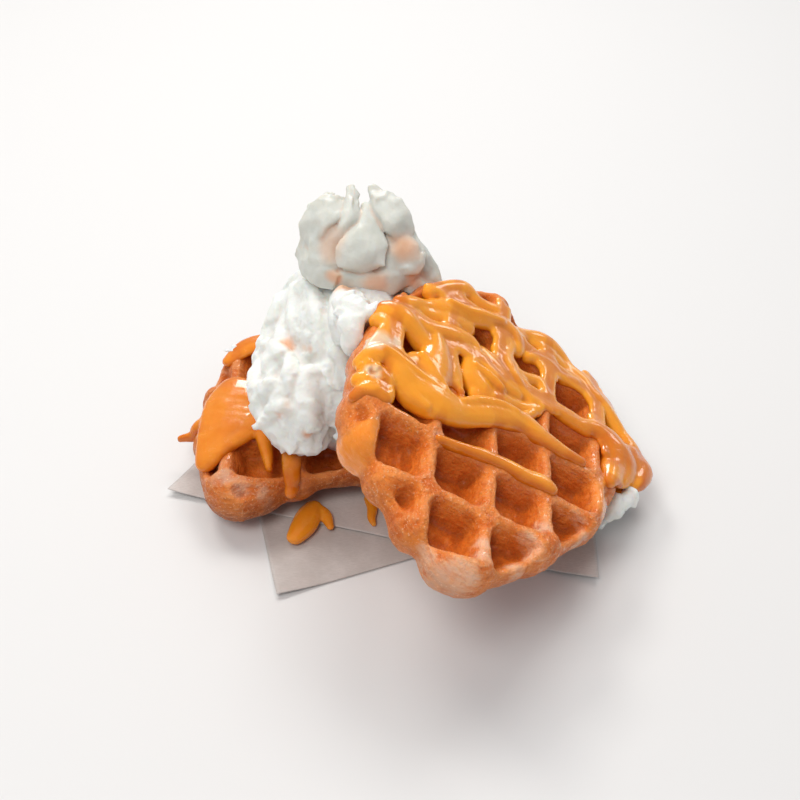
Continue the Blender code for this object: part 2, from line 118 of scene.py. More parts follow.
def soft_lamp(name, spot, width, height, power, colour, left_out):
    """A flat lamp that faces the serving."""
    lamp = bpy.data.lights.new(name, "AREA")
    lamp.shape = "RECTANGLE"
    lamp.size = width
    lamp.size_y = height
    lamp.energy = power
    lamp.color = colour
    holder = bpy.data.objects.new(name, lamp)
    holder.location = spot
    holder.rotation_euler = Vector(spot).to_track_quat("Z", "Y").to_euler()
    setattr(holder, left_out, False)
    bpy.context.scene.collection.objects.link(holder)


def floor():
    """A wide pale floor under the paper."""
    bm = bmesh.new()
    bmesh.ops.create_grid(bm, x_segments=1, y_segments=1, size=FLOOR_SIZE)
    mesh = bpy.data.meshes.new("floor")
    bm.to_mesh(mesh)
    bm.free()
    item = bpy.data.objects.new("floor", mesh)
    item.location.z = -FLOOR_DROP
    finish = bpy.data.materials.new("floor")
    finish.use_nodes = True
    shader = finish.node_tree.nodes["Principled BSDF"]
    shader.inputs["Base Color"].default_value = FLOOR_COLOUR
    shader.inputs["Roughness"].default_value = FLOOR_ROUGHNESS
    mesh.materials.append(finish)
    bpy.context.scene.collection.objects.link(item)


floor()
for lamp in LAMPS:
    soft_lamp(*lamp)

world = bpy.data.worlds.new("studio")
world.use_nodes = True
world.node_tree.nodes["Background"].inputs["Color"].default_value = ROOM_COLOUR
world.node_tree.nodes["Background"].inputs["Strength"].default_value = ROOM_STRENGTH
bpy.context.scene.world = world
bpy.context.scene.view_settings.view_transform = "Standard"

# %% [markdown]
# ## Helpers for soft, uneven shapes
# Food has no straight edges.  Each piece is roughed out with a few operators, then the
# Remesh modifier turns it into one skin of small even squares, and numpy moves the points
# of that skin by random heights.  `grain` gives smooth ones: random values on a cubic
# lattice, blended between its corners.  `shards` gives broken ones, with a step between
# each shard and the next, as where cream tears.

# %% Random heights
HASH_FACTORS = (73856093, 19349663, 83492791)
HASH_ROUNDS = ((13, 1274126177), (15, 668265263))
HASH_RANGE = 0x7FFFFFFF
# The lattice starts well away from the food, and each seed reads another part of it.
LATTICE_START = 60.0
SEED_STEP = 7.31
SHARD_SCATTER, SHARD_STEP, SHARD_TILT = 0.42, 0.7, 0.8


def scattered(cell):
    """A random value from -1 to 1 for every cell of a cubic lattice."""
    x, y, z = (cell[:, k] * factor for k, factor in enumerate(HASH_FACTORS))
    key = x ^ y ^ z
    for shift, factor in HASH_ROUNDS:
        key = (key ^ (key >> shift)) * factor & HASH_RANGE
    return key / (HASH_RANGE // 2) - 1.0


def lattice_spots(points, size, seed):
    """Points counted in cells of the lattice, and the cell that each lies in."""
    spots = np.asarray(points) / size + LATTICE_START + SEED_STEP * seed
    return spots, np.floor(spots).astype(np.int64)


def grain(points, size, seed=0):
    """Smooth random values from -1 to 1 in lumps of about the given size."""
    spots, cell = lattice_spots(points, size, seed)
    part = spots - cell
    part = part * part * (3.0 - 2.0 * part)
    total = np.zeros(len(spots))
    for corner in np.ndindex(2, 2, 2):
        share = np.prod(np.where(corner, part, 1.0 - part), axis=1)
        total += share * scattered(cell + np.array(corner))
    return total


def shards(points, size, seed):
    """Heights of torn shards: every shard has its own level and slope."""
    spots, home = lattice_spots(points, size, seed)
    nearest = np.full(len(spots), np.inf)
    height = np.zeros(len(spots))
    for step in np.ndindex(3, 3, 3):
        cell = home + np.array(step) - 1
        drift = np.column_stack([scattered(cell + k) for k in (1000, 2000, 3000)])
        away = spots - (cell + 0.5 + SHARD_SCATTER * drift)
        distance = np.sum(away * away, axis=1)
        tilt = SHARD_TILT * np.sum(away * drift[:, (1, 2, 0)], axis=1)
        level = SHARD_STEP * scattered(cell + 4000) + tilt
        height = np.where(distance < nearest, level, height)
        nearest = np.minimum(nearest, distance)
    return height


def random_shift(points, size, seeds, reach):
    """A smooth random shift for every point, with size and reach in millimetres."""
    return np.column_stack([grain(points, size * MM, seed) for seed in seeds]) * reach * MM


def smoothstep(low, high, values):
    """0 below the low value, 1 above the high one, and smooth between."""
    part = np.clip((values - low) / (high - low), 0.0, 1.0)
    return part * part * (3.0 - 2.0 * part)


print("grain of one spot", grain([[0.1, 0.2, 0.3]], 1.0).round(3))

# %% Reading and moving the points of a piece
def points_of(item):
    """Every point of a piece."""
    rows = np.empty(3 * len(item.data.vertices))
    item.data.vertices.foreach_get("co", rows)
    return rows.reshape(-1, 3)


def put_points(item, rows):
    """Move every point of a piece."""
    item.data.vertices.foreach_set("co", np.asarray(rows, dtype=float).ravel())
    item.data.update()


def normals_of(item):
    """The outward direction at every point of a piece."""
    rows = np.empty(3 * len(item.data.vertices))
    item.data.vertex_normals.foreach_get("vector", rows)
    return rows.reshape(-1, 3)


def store(item, name, rows):
    """Keep a value or a vector for every point, for the finish to read."""
    rows = np.asarray(rows, dtype=float)
    kind = "FLOAT" if rows.ndim == 1 else "FLOAT_VECTOR"
    layer = item.data.attributes.new(name, kind, "POINT")
    layer.data.foreach_set("value" if rows.ndim == 1 else "vector", rows.ravel())


def soften(item, rows, rounds):
    """Average every point with its neighbours, a few times over."""
    pairs = np.empty(2 * len(item.data.edges), dtype=np.int32)
    item.data.edges.foreach_get("vertices", pairs)
    a, b = pairs.reshape(-1, 2).T
    count = np.bincount(a, minlength=len(rows)) + np.bincount(b, minlength=len(rows))
    for _ in range(rounds):
        rows = np.column_stack([
            np.bincount(a, rows[b, k], len(rows)) + np.bincount(b, rows[a, k], len(rows))
            for k in range(3)]) / count[:, None]
    return rows


def note_hollows(item, rounds, reach):
    """Store how hollow the skin is: near 1 in a crease, near 0 on a crest."""
    rows = points_of(item)
    rise = np.sum((soften(item, rows, rounds) - rows) * normals_of(item), axis=1)
    store(item, "hollow", smoothstep(-reach, reach, rise))


def swell(item, rise):
    """Move every point of a piece outwards by its own rise."""
    put_points(item, points_of(item) + normals_of(item) * rise[:, None])


def new_piece(name, bm):
    """Turn a bmesh into a piece in the scene."""
    bmesh.ops.recalc_face_normals(bm, faces=bm.faces)
    mesh = bpy.data.meshes.new(name)
    bm.to_mesh(mesh)
    bm.free()
    item = bpy.data.objects.new(name, mesh)
    bpy.context.scene.collection.objects.link(item)
    return item


def apply_modifiers(item):
    """Keep what the modifiers make, and drop them."""
    mesh = bpy.data.meshes.new_from_object(
        item.evaluated_get(bpy.context.evaluated_depsgraph_get()))
    item.modifiers.clear()
    item.data = mesh


def reskin(item, size, rounds=0, factor=0.5):
    """One even skin over everything in the piece, then a few rounds of smoothing."""
    skin = item.modifiers.new("skin", "REMESH")
    skin.mode = "VOXEL"
    skin.voxel_size = size
    skin.use_smooth_shade = True
    if rounds:
        calm = item.modifiers.new("calm", "SMOOTH")
        calm.factor = factor
        calm.iterations = rounds
    apply_modifiers(item)
    print(item.name, "skin of", len(item.data.polygons), "faces")
    return item


# %% Skins over rings, and blobs
def add_skin(bm, rings):
    """A closed tube through rings of equal length."""
    loops = []
    for ring in rings:
        made = bmesh.ops.create_circle(bm, cap_ends=False, segments=len(ring), radius=1.0)
        for vert, spot in zip(made["verts"], ring):
            vert.co = spot
        loops.append(list({edge for vert in made["verts"] for edge in vert.link_edges}))
    for low, high in zip(loops, loops[1:]):
        bmesh.ops.bridge_loops(bm, edges=low + high)
    for loop in (loops[0], loops[-1]):
        bmesh.ops.contextual_create(bm, geom=loop)


def add_blob(bm, middle, radii, turn=0.0, detail=2):
    """A rounded lump, turned about the upright axis."""
    place = Matrix.Translation(Vector(middle)) @ Matrix.Rotation(turn, 4, "Z")
    place = place @ Matrix.Diagonal((*radii, 1.0))
    bmesh.ops.create_icosphere(bm, subdivisions=detail, radius=1.0, matrix=place)


def smooth_path(rows, steps, closed=False):
    """Points on a smooth curve through the given ones, steps to each stretch."""
    rows = np.asarray(rows, dtype=float)
    count = len(rows)
    result = []
    for i in range(count if closed else count - 1):
        if closed:
            a, b, c, d = (rows[(i + k) % count] for k in (-1, 0, 1, 2))
        else:
            a, b, c, d = (rows[min(max(i + k, 0), count - 1)] for k in (-1, 0, 1, 2))
        for t in np.arange(steps) / steps:
            result.append(0.5 * (2 * b + (c - a) * t + (2 * a - 5 * b + 4 * c - d) * t * t
                                 + (3 * b - a - 3 * c + d) * t ** 3))
    if not closed:
        result.append(rows[-1])
    return np.array(result)


print("a path of", len(smooth_path([(0, 0), (1, 0), (1, 1)], 4)), "points")

# %% [markdown]
# ## Pressed dough
# The iron presses square pockets between crossing ridges.  A piece is drawn flat, counted
# in cells of that lattice, as a slab with a rounded rim.  Its points are pushed down into
# pockets, roughened like flaky pastry, and only then bent and laid in place.  Drawing it
# flat keeps the lattice square, and the bend makes it lean and sag like the real piece.

# %% Where each piece of dough lies
# Where the twist stops growing, as a product of two distances in metres.
TWIST_REACH = 0.006


class Piece:
    """The flat drawing of a piece of dough and its place in the serving."""

    def __init__(self, origin, across, along, pitch, curve, twist, outline):
        self.origin = np.array(origin) * MM
        self.across = np.array(across) / np.linalg.norm(across)
        along = np.array(along) - np.dot(along, self.across) * self.across
        self.along = along / np.linalg.norm(along)
        self.out = np.cross(self.across, self.along)
        self.pitch = pitch * MM
        self.curve = curve
        self.twist = twist
        self.ring = smooth_path(np.array(outline) * self.pitch, 10, closed=True)

    def lay(self, rows):
        """Carry points from the flat drawing to the frame."""
        u, v, w = np.asarray(rows).T
        turn = u * v / (1.0 + np.abs(u * v) / TWIST_REACH)
        sag = (self.curve[0] * u * u + self.curve[1] * v * v) / 2 + self.twist * turn
        return (self.origin + SHIFT + np.outer(u, self.across) + np.outer(v, self.along)
                + np.outer(w - sag, self.out))


LEFT = Piece((-44.6, -34.5, 19.0), (1.0, 0.0, 0.055), (-0.03, 1.0, 0.0), 22.0, (0.6, 0.8), 0.0, [
    (-0.35, -0.88), (-0.85, -0.40), (-1.05, 0.50), (-1.05, 1.45), (-0.72, 2.35),
    (-0.20, 2.85), (0.70, 3.20), (1.75, 3.00), (2.65, 2.30), (3.00, 1.20),
    (2.75, 0.30), (1.95, -0.10), (1.05, -0.32), (0.40, -0.48), (0.05, -0.72)])
RIGHT = Piece((35.0, -60.0, 44.4), (0.8373, -0.0792, -0.541), (0.0838, 0.9963, -0.0161), 19.35,
              (-0.54, 0.17), 2.7, [
    (-0.60, -2.72), (-1.30, -2.46), (-1.90, -1.95), (-2.28, -1.45), (-2.78, -0.98),
    (-2.95, 0.00), (-2.78, 1.10), (-2.35, 2.20), (-1.60, 3.05), (-0.75, 3.55),
    (0.20, 3.42), (1.05, 3.40), (1.75, 3.00), (2.20, 2.35), (2.38, 1.60),
    (2.20, 0.90), (1.85, 0.20), (1.62, -0.35), (1.35, -0.90), (0.85, -1.50), (0.15, -2.20)])
print("outlines of", len(LEFT.ring), "and", len(RIGHT.ring), "points")

# %% How deep the iron pressed
THICKNESS = 14.5 * MM
POCKET_DEPTH = 8.0 * MM
UNDER_DEPTH = 4.0 * MM
FLOOR_EDGE = 0.24
RIDGE_EDGE = 0.46
RIM_LIP = 0.3 * MM
RIM_FADE = 6.5 * MM
RIM_ROUND = 6.0 * MM
RIM_BULGE = 0.4 * MM
RIM_ANGLES = (-80, -60, -38, -15, 8, 30, 52, 78)
WANDER = 1.0 * MM
SCALLOP = 1.6 * MM
SCALLOP_FROM = 4.0 * MM


def rim_distance(ring, u, v):
    """How far points lie inside an outline, negative outside."""
    nearest = np.full(len(u), np.inf)
    inside = np.zeros(len(u), dtype=bool)
    for a, b in zip(ring, np.roll(ring, -1, axis=0)):
        step = b - a
        t = np.clip(((u - a[0]) * step[0] + (v - a[1]) * step[1]) / (step @ step), 0.0, 1.0)
        nearest = np.minimum(nearest, np.hypot(a[0] + t * step[0] - u, a[1] + t * step[1] - v))
        if a[1] != b[1]:
            crossed = (a[1] > v) != (b[1] > v)
            inside ^= crossed & (u < a[0] + (v - a[1]) * step[0] / step[1])
    return np.where(inside, nearest, -nearest)


def pressed(piece, u, v):
    """How far down the pockets go: 0 on a ridge, 1 on a pocket's floor."""
    flat = np.column_stack([u, v, np.zeros(len(u))])
    cells = np.column_stack([
        u + WANDER * grain(flat, 17.0 * MM, 1), v + WANDER * grain(flat, 17.0 * MM, 2),
    ]) / piece.pitch
    away = np.abs(cells - np.round(cells))
    share = np.clip((RIDGE_EDGE - away) / (RIDGE_EDGE - FLOOR_EDGE), 0.0, 1.0)
    both = np.clip(1.0 - np.hypot(1.0 - share[:, 0], 1.0 - share[:, 1]), 0.0, 1.0)
    return both * both * (3.0 - 2.0 * both)


def past_rim(inside):
    """0 at the rim, 1 where a pocket has its full depth."""
    return smoothstep(0.0, RIM_FADE, inside - RIM_LIP)


def inset(ring, distances):
    """An outline moved inwards by a distance for each of its points."""
    along = np.roll(ring, -1, axis=0) - np.roll(ring, 1, axis=0)
    side = np.column_stack([-along[:, 1], along[:, 0]])
    side /= np.linalg.norm(side, axis=1)[:, None]
    middle = ring.mean(axis=0)
    side *= np.sign(np.sum(side * (middle - ring), axis=1)).mean() or 1.0
    return ring + side * np.asarray(distances)[:, None]


print("pressed at a ridge and a floor", pressed(LEFT, np.array([0.011, 0.0]), np.zeros(2)))

# %% [markdown]
# The slab is a tube through a few copies of the outline, one above the other and drawn in
# at the top and the bottom.  Where a pocket meets the rim the outline steps in a little,
# so the rim is scalloped as the ridges run out.

# %% Slab, pockets and flakes
SLAB_SKIN = 0.9 * MM
PASTRY_SKIN = 0.62 * MM


def dough(name, piece, puffs):
    """One pressed piece of dough, still flat."""
    inner = inset(piece.ring, np.full(len(piece.ring), SCALLOP_FROM))
    open_pocket = pressed(piece, inner[:, 0], inner[:, 1])
    flat_ring = np.column_stack([piece.ring, np.zeros(len(piece.ring))])
    recess = SCALLOP * open_pocket - 0.5 * MM + 0.7 * MM * grain(flat_ring, 7.0 * MM, 3)
    half = THICKNESS / 2
    rings = []
    for degrees in RIM_ANGLES:
        angle = math.radians(degrees)
        ring = inset(piece.ring, recess + RIM_ROUND * (1.0 - math.cos(angle)))
        height = np.full(len(ring), -half + (half + RIM_BULGE) * math.sin(angle))
        rings.append(np.column_stack([ring, height]))
    bm = bmesh.new()
    add_skin(bm, rings)
    item = reskin(new_piece(name, bm), SLAB_SKIN)

    rows = points_of(item)
    u, v, w = rows.T
    sunk = pressed(piece, u, v) * past_rim(rim_distance(piece.ring, u, v))
    cell = np.column_stack([np.round(u / piece.pitch), np.round(v / piece.pitch), 0 * u])
    deep = 1.0 + 0.16 * grain(cell * 1.37, 1.0, 4)
    level = np.clip((w + half) / half, -1.0, 1.0)
    w = w - np.maximum(level, 0.0) * POCKET_DEPTH * deep * sunk
    w = w + np.maximum(-level, 0.0) * UNDER_DEPTH * sunk
    w = w + 0.9 * MM * grain(rows, 16.0 * MM, 5) * np.abs(level)
    for pu, pv, reach, rise in puffs:
        near = np.exp(-((u / piece.pitch - pu) ** 2 + (v / piece.pitch - pv) ** 2) / reach ** 2)
        w = w + rise * MM * near * np.maximum(level, 0.0)
    put_points(item, np.column_stack([u, v, w]))
    return reskin(item, PASTRY_SKIN, 2, 0.4)


def flake(item):
    """Roughen the skin: crags, curled flakes and fine scratches."""
    rows = points_of(item)
    layered = rows * np.array([1.0, 1.0, 2.6])
    wrinkle = 1.0 - np.abs(grain(layered, 4.6 * MM, 7))
    fine = 1.0 - np.abs(grain(layered, 2.1 * MM, 8))
    rise = (0.34 * grain(rows, 6.5 * MM, 6) + 0.20 * (wrinkle ** 3 - 0.4)
            + 0.12 * (fine ** 3 - 0.4) + 0.13 * grain(rows, 1.3 * MM, 9)) * MM
    swell(item, rise)


RIGHT_PUFFS = [(-0.5, -2.45, 0.45, 1.2), (0.62, -1.55, 0.35, 1.0), (1.45, -0.75, 0.3, 1.0),
               (-2.7, 0.0, 0.4, 0.8)]
LEFT_PUFFS = [(-0.75, -0.2, 0.3, 1.2), (-0.3, -0.65, 0.35, 0.6)]
dough_left = dough("dough_left", LEFT, LEFT_PUFFS)
dough_right = dough("dough_right", RIGHT, RIGHT_PUFFS)
for item in (dough_left, dough_right):
    flake(item)
print("flat dough", len(dough_left.data.vertices), len(dough_right.data.vertices), "points")

# %% [markdown]
# ## Thick caramel
# Thick caramel stands up in rounded strings where it was poured, sinks a little into the
# pockets and runs together.  Each string is a row of overlapping blobs along a smooth
# path.  Small flat blobs on the ridges between them make the coat that the strings left
# behind.  One skin over all of them and some smoothing melt the joints, which is what the
# surface of a thick liquid does by itself.

# %% The strings of caramel, in cells across and along, with half widths in millimetres
RIGHT_STRINGS = [
    # Upper tube, band and top loop.
    [(-2.30, 1.50, 2.2), (-1.96, 1.45, 3.2), (-1.52, 1.62, 3.8), (-1.17, 1.76, 3.4),
     (-1.00, 1.70, 2.6)],
    [(-2.44, 1.67, 3.0), (-1.99, 1.96, 3.0), (-1.58, 2.18, 3.6), (-1.08, 2.41, 3.7),
     (-0.56, 2.65, 3.7), (-0.25, 2.61, 3.4), (-0.15, 2.32, 2.4)],
    [(-1.98, 2.30, 2.2), (-1.57, 2.73, 2.8), (-1.27, 2.90, 3.2), (-1.05, 2.84, 2.8),
     (-0.66, 2.92, 2.4)],
    [(-2.78, 1.36, 2.4), (-2.60, 1.38, 4.0), (-2.33, 1.33, 4.4), (-2.05, 1.23, 3.6),
     (-1.80, 1.12, 3.2)],
    # The broad main string with its neck and lobe, and the arm to the right.
    [(-2.86, 0.18, 2.4), (-2.76, 0.30, 3.0), (-2.55, 0.44, 3.8), (-2.32, 0.36, 5.0),
     (-2.07, 0.20, 6.6), (-1.73, 0.12, 7.3), (-1.37, 0.12, 6.0), (-0.94, 0.32, 5.2),
     (-0.48, 0.56, 5.2), (-0.03, 0.70, 4.6), (0.33, 0.62, 3.6), (0.68, 0.58, 3.0),
     (1.13, 0.56, 2.0)],
    [(-1.75, 1.31, 3.4), (-1.68, 1.05, 5.0), (-1.71, 0.68, 6.2), (-1.73, 0.33, 5.6)],
    [(-1.04, 1.29, 3.2), (-0.95, 1.07, 5.0), (-0.78, 0.94, 4.4)],
    [(-0.86, 1.52, 2.2), (-0.69, 1.37, 2.8), (-0.44, 1.27, 2.6), (-0.12, 1.28, 2.0)],
    [(-0.30, 2.30, 2.2), (-0.39, 1.89, 3.0), (-0.26, 1.65, 3.0), (-0.04, 1.43, 2.4),
     (0.21, 1.33, 2.0)],
    # The string along the far edge and the loops inside it.
    [(-0.16, 2.78, 2.6), (0.20, 3.00, 3.2), (0.57, 3.08, 3.2), (0.84, 3.04, 3.2), (1.07, 2.86, 3.2),
     (1.33, 2.74, 3.2), (1.50, 2.56, 3.2), (1.75, 2.38, 3.2), (2.00, 2.18, 3.4), (2.22, 1.92, 3.4),
     (2.34, 1.70, 3.6), (2.30, 1.40, 3.6)],
    [(0.07, 2.36, 1.8), (0.33, 2.48, 2.2), (0.60, 2.50, 2.4), (0.78, 2.43, 2.0), (1.14, 2.52, 2.4)],
    [(-0.26, 1.75, 2.2), (0.03, 1.83, 2.5), (0.33, 1.92, 2.2), (0.46, 1.65, 2.0)],
    [(0.13, 1.30, 1.6), (0.50, 1.46, 1.8), (0.91, 1.46, 2.0), (1.33, 1.48, 2.6)],
    [(1.21, 1.51, 2.6), (1.56, 1.60, 4.2), (1.85, 1.48, 5.6), (1.92, 1.15, 5.4), (1.81, 0.78, 4.0),
     (1.71, 0.50, 2.2)],
    [(-0.07, 0.78, 2.0), (0.21, 1.10, 1.6)],
    # The single lower string, and the lip at the left corner.
    [(-1.45, -0.56, 1.4), (-0.92, -0.48, 1.8), (-0.71, -0.44, 2.2), (-0.32, -0.40, 2.2),
     (0.04, -0.42, 2.8), (0.36, -0.38, 3.3), (0.56, -0.42, 2.2)],
    [(-2.84, -0.50, 1.8), (-2.76, -0.38, 2.4), (-2.57, -0.31, 2.7), (-2.40, -0.34, 2.4),
     (-2.36, -0.14, 1.6)],
]
RIGHT_FILMS = [
    [(-2.72, 1.20, 2.8), (-2.57, 1.02, 3.4), (-2.64, 0.76, 3.0), (-2.78, 0.40, 2.4)],
    [(2.05, 1.58, 3.4), (2.26, 1.36, 4.4), (2.26, 1.02, 4.4), (2.16, 0.74, 3.0)],
    [(-2.53, 1.51, 3.0), (-2.33, 1.44, 3.6), (-2.08, 1.30, 3.4), (-1.86, 1.12, 3.0)],
    [(-2.15, 1.77, 2.6), (-1.84, 1.86, 2.8), (-1.53, 2.00, 3.0), (-1.18, 2.11, 3.0)],
    [(-0.86, 1.74, 2.5), (-0.65, 1.62, 3.6), (-0.43, 1.45, 3.6), (-0.18, 1.35, 2.8)],
    [(-0.55, 1.98, 3.0), (-0.29, 1.90, 3.3), (-0.11, 1.69, 3.2), (0.10, 1.47, 2.8)],
    [(-1.44, 1.24, 2.6), (-1.35, 0.98, 2.8), (-1.28, 0.70, 2.8)],
    [(-0.90, 0.76, 2.6), (-0.49, 0.94, 2.6), (-0.10, 1.09, 2.5), (0.31, 1.22, 2.0)],
    [(0.17, 2.90, 3.0), (0.49, 2.86, 2.8), (0.81, 2.82, 2.8), (1.13, 2.74, 2.8)],
    [(-2.48, 0.52, 2.4), (-2.24, 0.42, 3.0), (-2.00, 0.72, 3.2)],
    [(-2.80, 0.10, 2.6), (-2.62, 0.02, 3.4), (-2.44, -0.04, 3.0)],
    [(-2.82, -0.16, 2.6), (-2.64, -0.16, 3.0), (-2.48, -0.20, 2.6)],
]
RIGHT_OVER = [
    [(2.22, 1.92, 3.2), (2.40, 1.64, 4.2), (2.50, 1.38, 4.8), (2.43, 1.10, 4.0), (2.34, 0.92, 2.4)],
    [(2.28, 1.60, 3.4), (2.36, 1.28, 4.4), (2.30, 1.00, 3.0)],
    [(1.88, 1.54, 4.2), (2.06, 1.28, 5.4), (2.08, 1.00, 4.6), (2.00, 0.78, 2.8)],
]
RIGHT_CRESTS = [
    [(-2.66, 0.44, 1.0), (-2.41, 0.42, 1.5), (-2.03, 0.34, 1.8), (-1.66, 0.28, 1.7),
     (-1.34, 0.28, 1.1)],
    [(-2.18, 0.09, 1.0), (-1.98, -0.06, 1.6), (-1.74, -0.18, 1.3)],
    [(-1.99, 0.78, 1.1), (-1.82, 0.62, 1.5), (-1.57, 0.40, 1.4), (-1.40, 0.22, 1.0)],
    [(-1.22, 0.28, 1.1), (-0.88, 0.52, 1.8), (-0.47, 0.70, 1.8), (-0.16, 0.74, 1.4)],
    [(-1.02, 1.24, 1.1), (-0.78, 1.19, 1.5), (-0.49, 1.08, 1.1)],
    [(-1.64, 2.24, 1.2), (-1.35, 2.30, 1.6), (-0.95, 2.46, 1.6), (-0.57, 2.62, 1.2)],
]
RIGHT_COAT = [
    (-3.02, 1.16), (-2.53, 1.86), (-1.83, 2.61), (-1.0, 3.2), (-0.6, 3.2), (-0.09, 3.11),
     (0.81, 3.3),
    (1.7, 2.9), (2.3, 2.08), (2.5, 1.47), (2.25, 0.68), (1.76, 0.59), (1.58, 1.4), (1.0, 1.52),
    (0.33, 1.27), (-0.37, 0.96), (-1.03, 0.68), (-1.55, 0.29), (-2.14, 0.35), (-2.45, 0.47),
    (-3.04, -0.08), (-3.0, 0.6),
]
LEFT_STRINGS = [
    [(-0.18, 1.22, 4.0), (-0.10, 0.86, 4.0), (-0.22, 0.50, 3.6), (-0.46, 0.26, 3.2),
     (-0.66, 0.02, 2.4)],
    [(-0.02, 0.52, 3.0), (0.05, 0.20, 2.4), (0.10, -0.05, 1.8), (0.13, -0.26, 1.2)],
    [(0.43, 0.22, 3.2), (0.45, -0.14, 3.3), (0.46, -0.40, 2.7), (0.44, -0.58, 1.9)],
    [(-0.84, 0.76, 2.8), (-0.99, 0.72, 2.3), (-1.14, 0.68, 1.5), (-1.30, 0.64, 0.8)],
]
LEFT_FILMS = [
    [(-0.50, 1.42, 6.0), (-0.56, 1.02, 8.4), (-0.60, 0.58, 8.4), (-0.70, 0.20, 6.0),
     (-0.82, -0.06, 3.4)],
    [(-0.64, 2.16, 2.8), (-0.46, 2.38, 4.0), (-0.22, 2.50, 4.6), (0.04, 2.46, 4.6)],
]
SAUCE_SAG = 3.0 * MM
SAUCE_SKIN = 0.5 * MM
COAT_STEP = 1.15 * MM
COAT_BLOB = (1.7 * MM, 1.7 * MM, 1.1 * MM)
RUN_STRETCH = (0.25, 0.9, 1.0)
FROTH = [(-2.72, -0.02, 0.22)]


def sunk_softly(piece, u, v):
    """How far a thick liquid hangs into the pocket below it, 0 to 1."""
    return ((0.5 + 0.5 * math.cos(2 * math.pi * u / piece.pitch))
            * (0.5 + 0.5 * math.cos(2 * math.pi * v / piece.pitch)))


def top_of_slab(inside):
    """The height of the slab's skin, which rounds down at the rim."""
    level = np.clip(1.0 - np.asarray(inside) / RIM_ROUND, 0.0, 1.0)
    return -THICKNESS / 2 + (THICKNESS / 2 + RIM_BULGE) * np.sqrt(1.0 - level * level)


# How far a blob swells, its least height and its lift in mm, and how closely it hugs the rim.
STRING = (0.30, 1.25, 0.0, 0.65)
FILM = (0.10, 1.25, 0.0, 0.85)
CREST = (0.30, 1.25, 1.9, 0.65)
OVER = (0.30, 1.25, 0.0, 0.20)


def string_blobs(bm, piece, run, kind):
    """One string of sauce as a row of blobs that follows the dough below it."""
    swelling, least, lift, hug = kind
    path = smooth_path([(u * piece.pitch, v * piece.pitch, r * MM) for u, v, r in run], 10)
    ground = hug * top_of_slab(rim_distance(piece.ring, path[:, 0], path[:, 1]))
    since = 1.0
    before = path[0]
    for (u, v, radius), base in zip(path, ground):
        since += math.hypot(u - before[0], v - before[1])
        before = (u, v)
        if since < 0.25 * radius:
            continue
        since = 0.0
        hang = SAUCE_SAG * sunk_softly(piece, u, v)
        high = swelling * radius + least * MM + 0.25 * hang
        middle = base + 0.10 * radius + (lift - 0.5) * MM - 0.6 * hang
        add_blob(bm, (u, v, middle), (radius, radius, high))


def coat_blobs(bm, piece, edge):
    """Small flat blobs where the ridges are coated."""
    ring = np.array(edge) * piece.pitch
    low, high = ring.min(axis=0), ring.max(axis=0)
    steps = [np.arange(a, b, COAT_STEP) for a, b in zip(low, high)]
    u, v = (side.ravel() for side in np.meshgrid(*steps))
    flat = np.column_stack([u, v, 0 * u])
    patch = grain(flat, 9.0 * MM, 13) + 0.5 * grain(flat, 4.0 * MM, 14)
    inside = rim_distance(piece.ring, u, v)
    keep = ((rim_distance(ring, u, v) > 0.0) & (pressed(piece, u, v) < 0.30 + 0.2 * patch)
            & (inside > 1.5 * MM) & (patch > -0.55))
    for x, y, base, extra in zip(u[keep], v[keep], top_of_slab(inside[keep]), patch[keep]):
        add_blob(bm, (x, y, base + 0.1 * MM + 0.3 * MM * extra), COAT_BLOB, detail=1)


def pour(name, piece, groups, coat=None, froth=()):
    """Strings of thick sauce, melted into one body."""
    bm = bmesh.new()
    for runs, kind in groups:
        for run in runs:
            string_blobs(bm, piece, run, kind)
    if coat:
        coat_blobs(bm, piece, coat)
    item = reskin(new_piece(name, bm), SAUCE_SKIN, 9, 0.5)
    rows = points_of(item)
    rise = 0.22 * MM * grain(rows, 6.0 * MM, 11)
    rise += 0.12 * MM * grain(rows * np.array(RUN_STRETCH), 2.4 * MM, 12)
    for u, v, reach in froth:
        away = np.hypot(rows[:, 0] / piece.pitch - u, rows[:, 1] / piece.pitch - v) / reach
        bubbles = np.maximum(grain(rows, 0.95 * MM, 15) - 0.1, 0.0) * 1.3
        rise += MM * bubbles * np.exp(-away ** 4) - 1.0 * MM * np.exp(-(away / 0.3) ** 2)
    swell(item, 0.2 * MM + rise)
    return item


sauce_right = pour("sauce_right", RIGHT, [
    (RIGHT_STRINGS, STRING), (RIGHT_FILMS, FILM), (RIGHT_CRESTS, CREST), (RIGHT_OVER, OVER),
], RIGHT_COAT, FROTH)
sauce_left = pour("sauce_left", LEFT, [(LEFT_STRINGS, STRING), (LEFT_FILMS, FILM)])
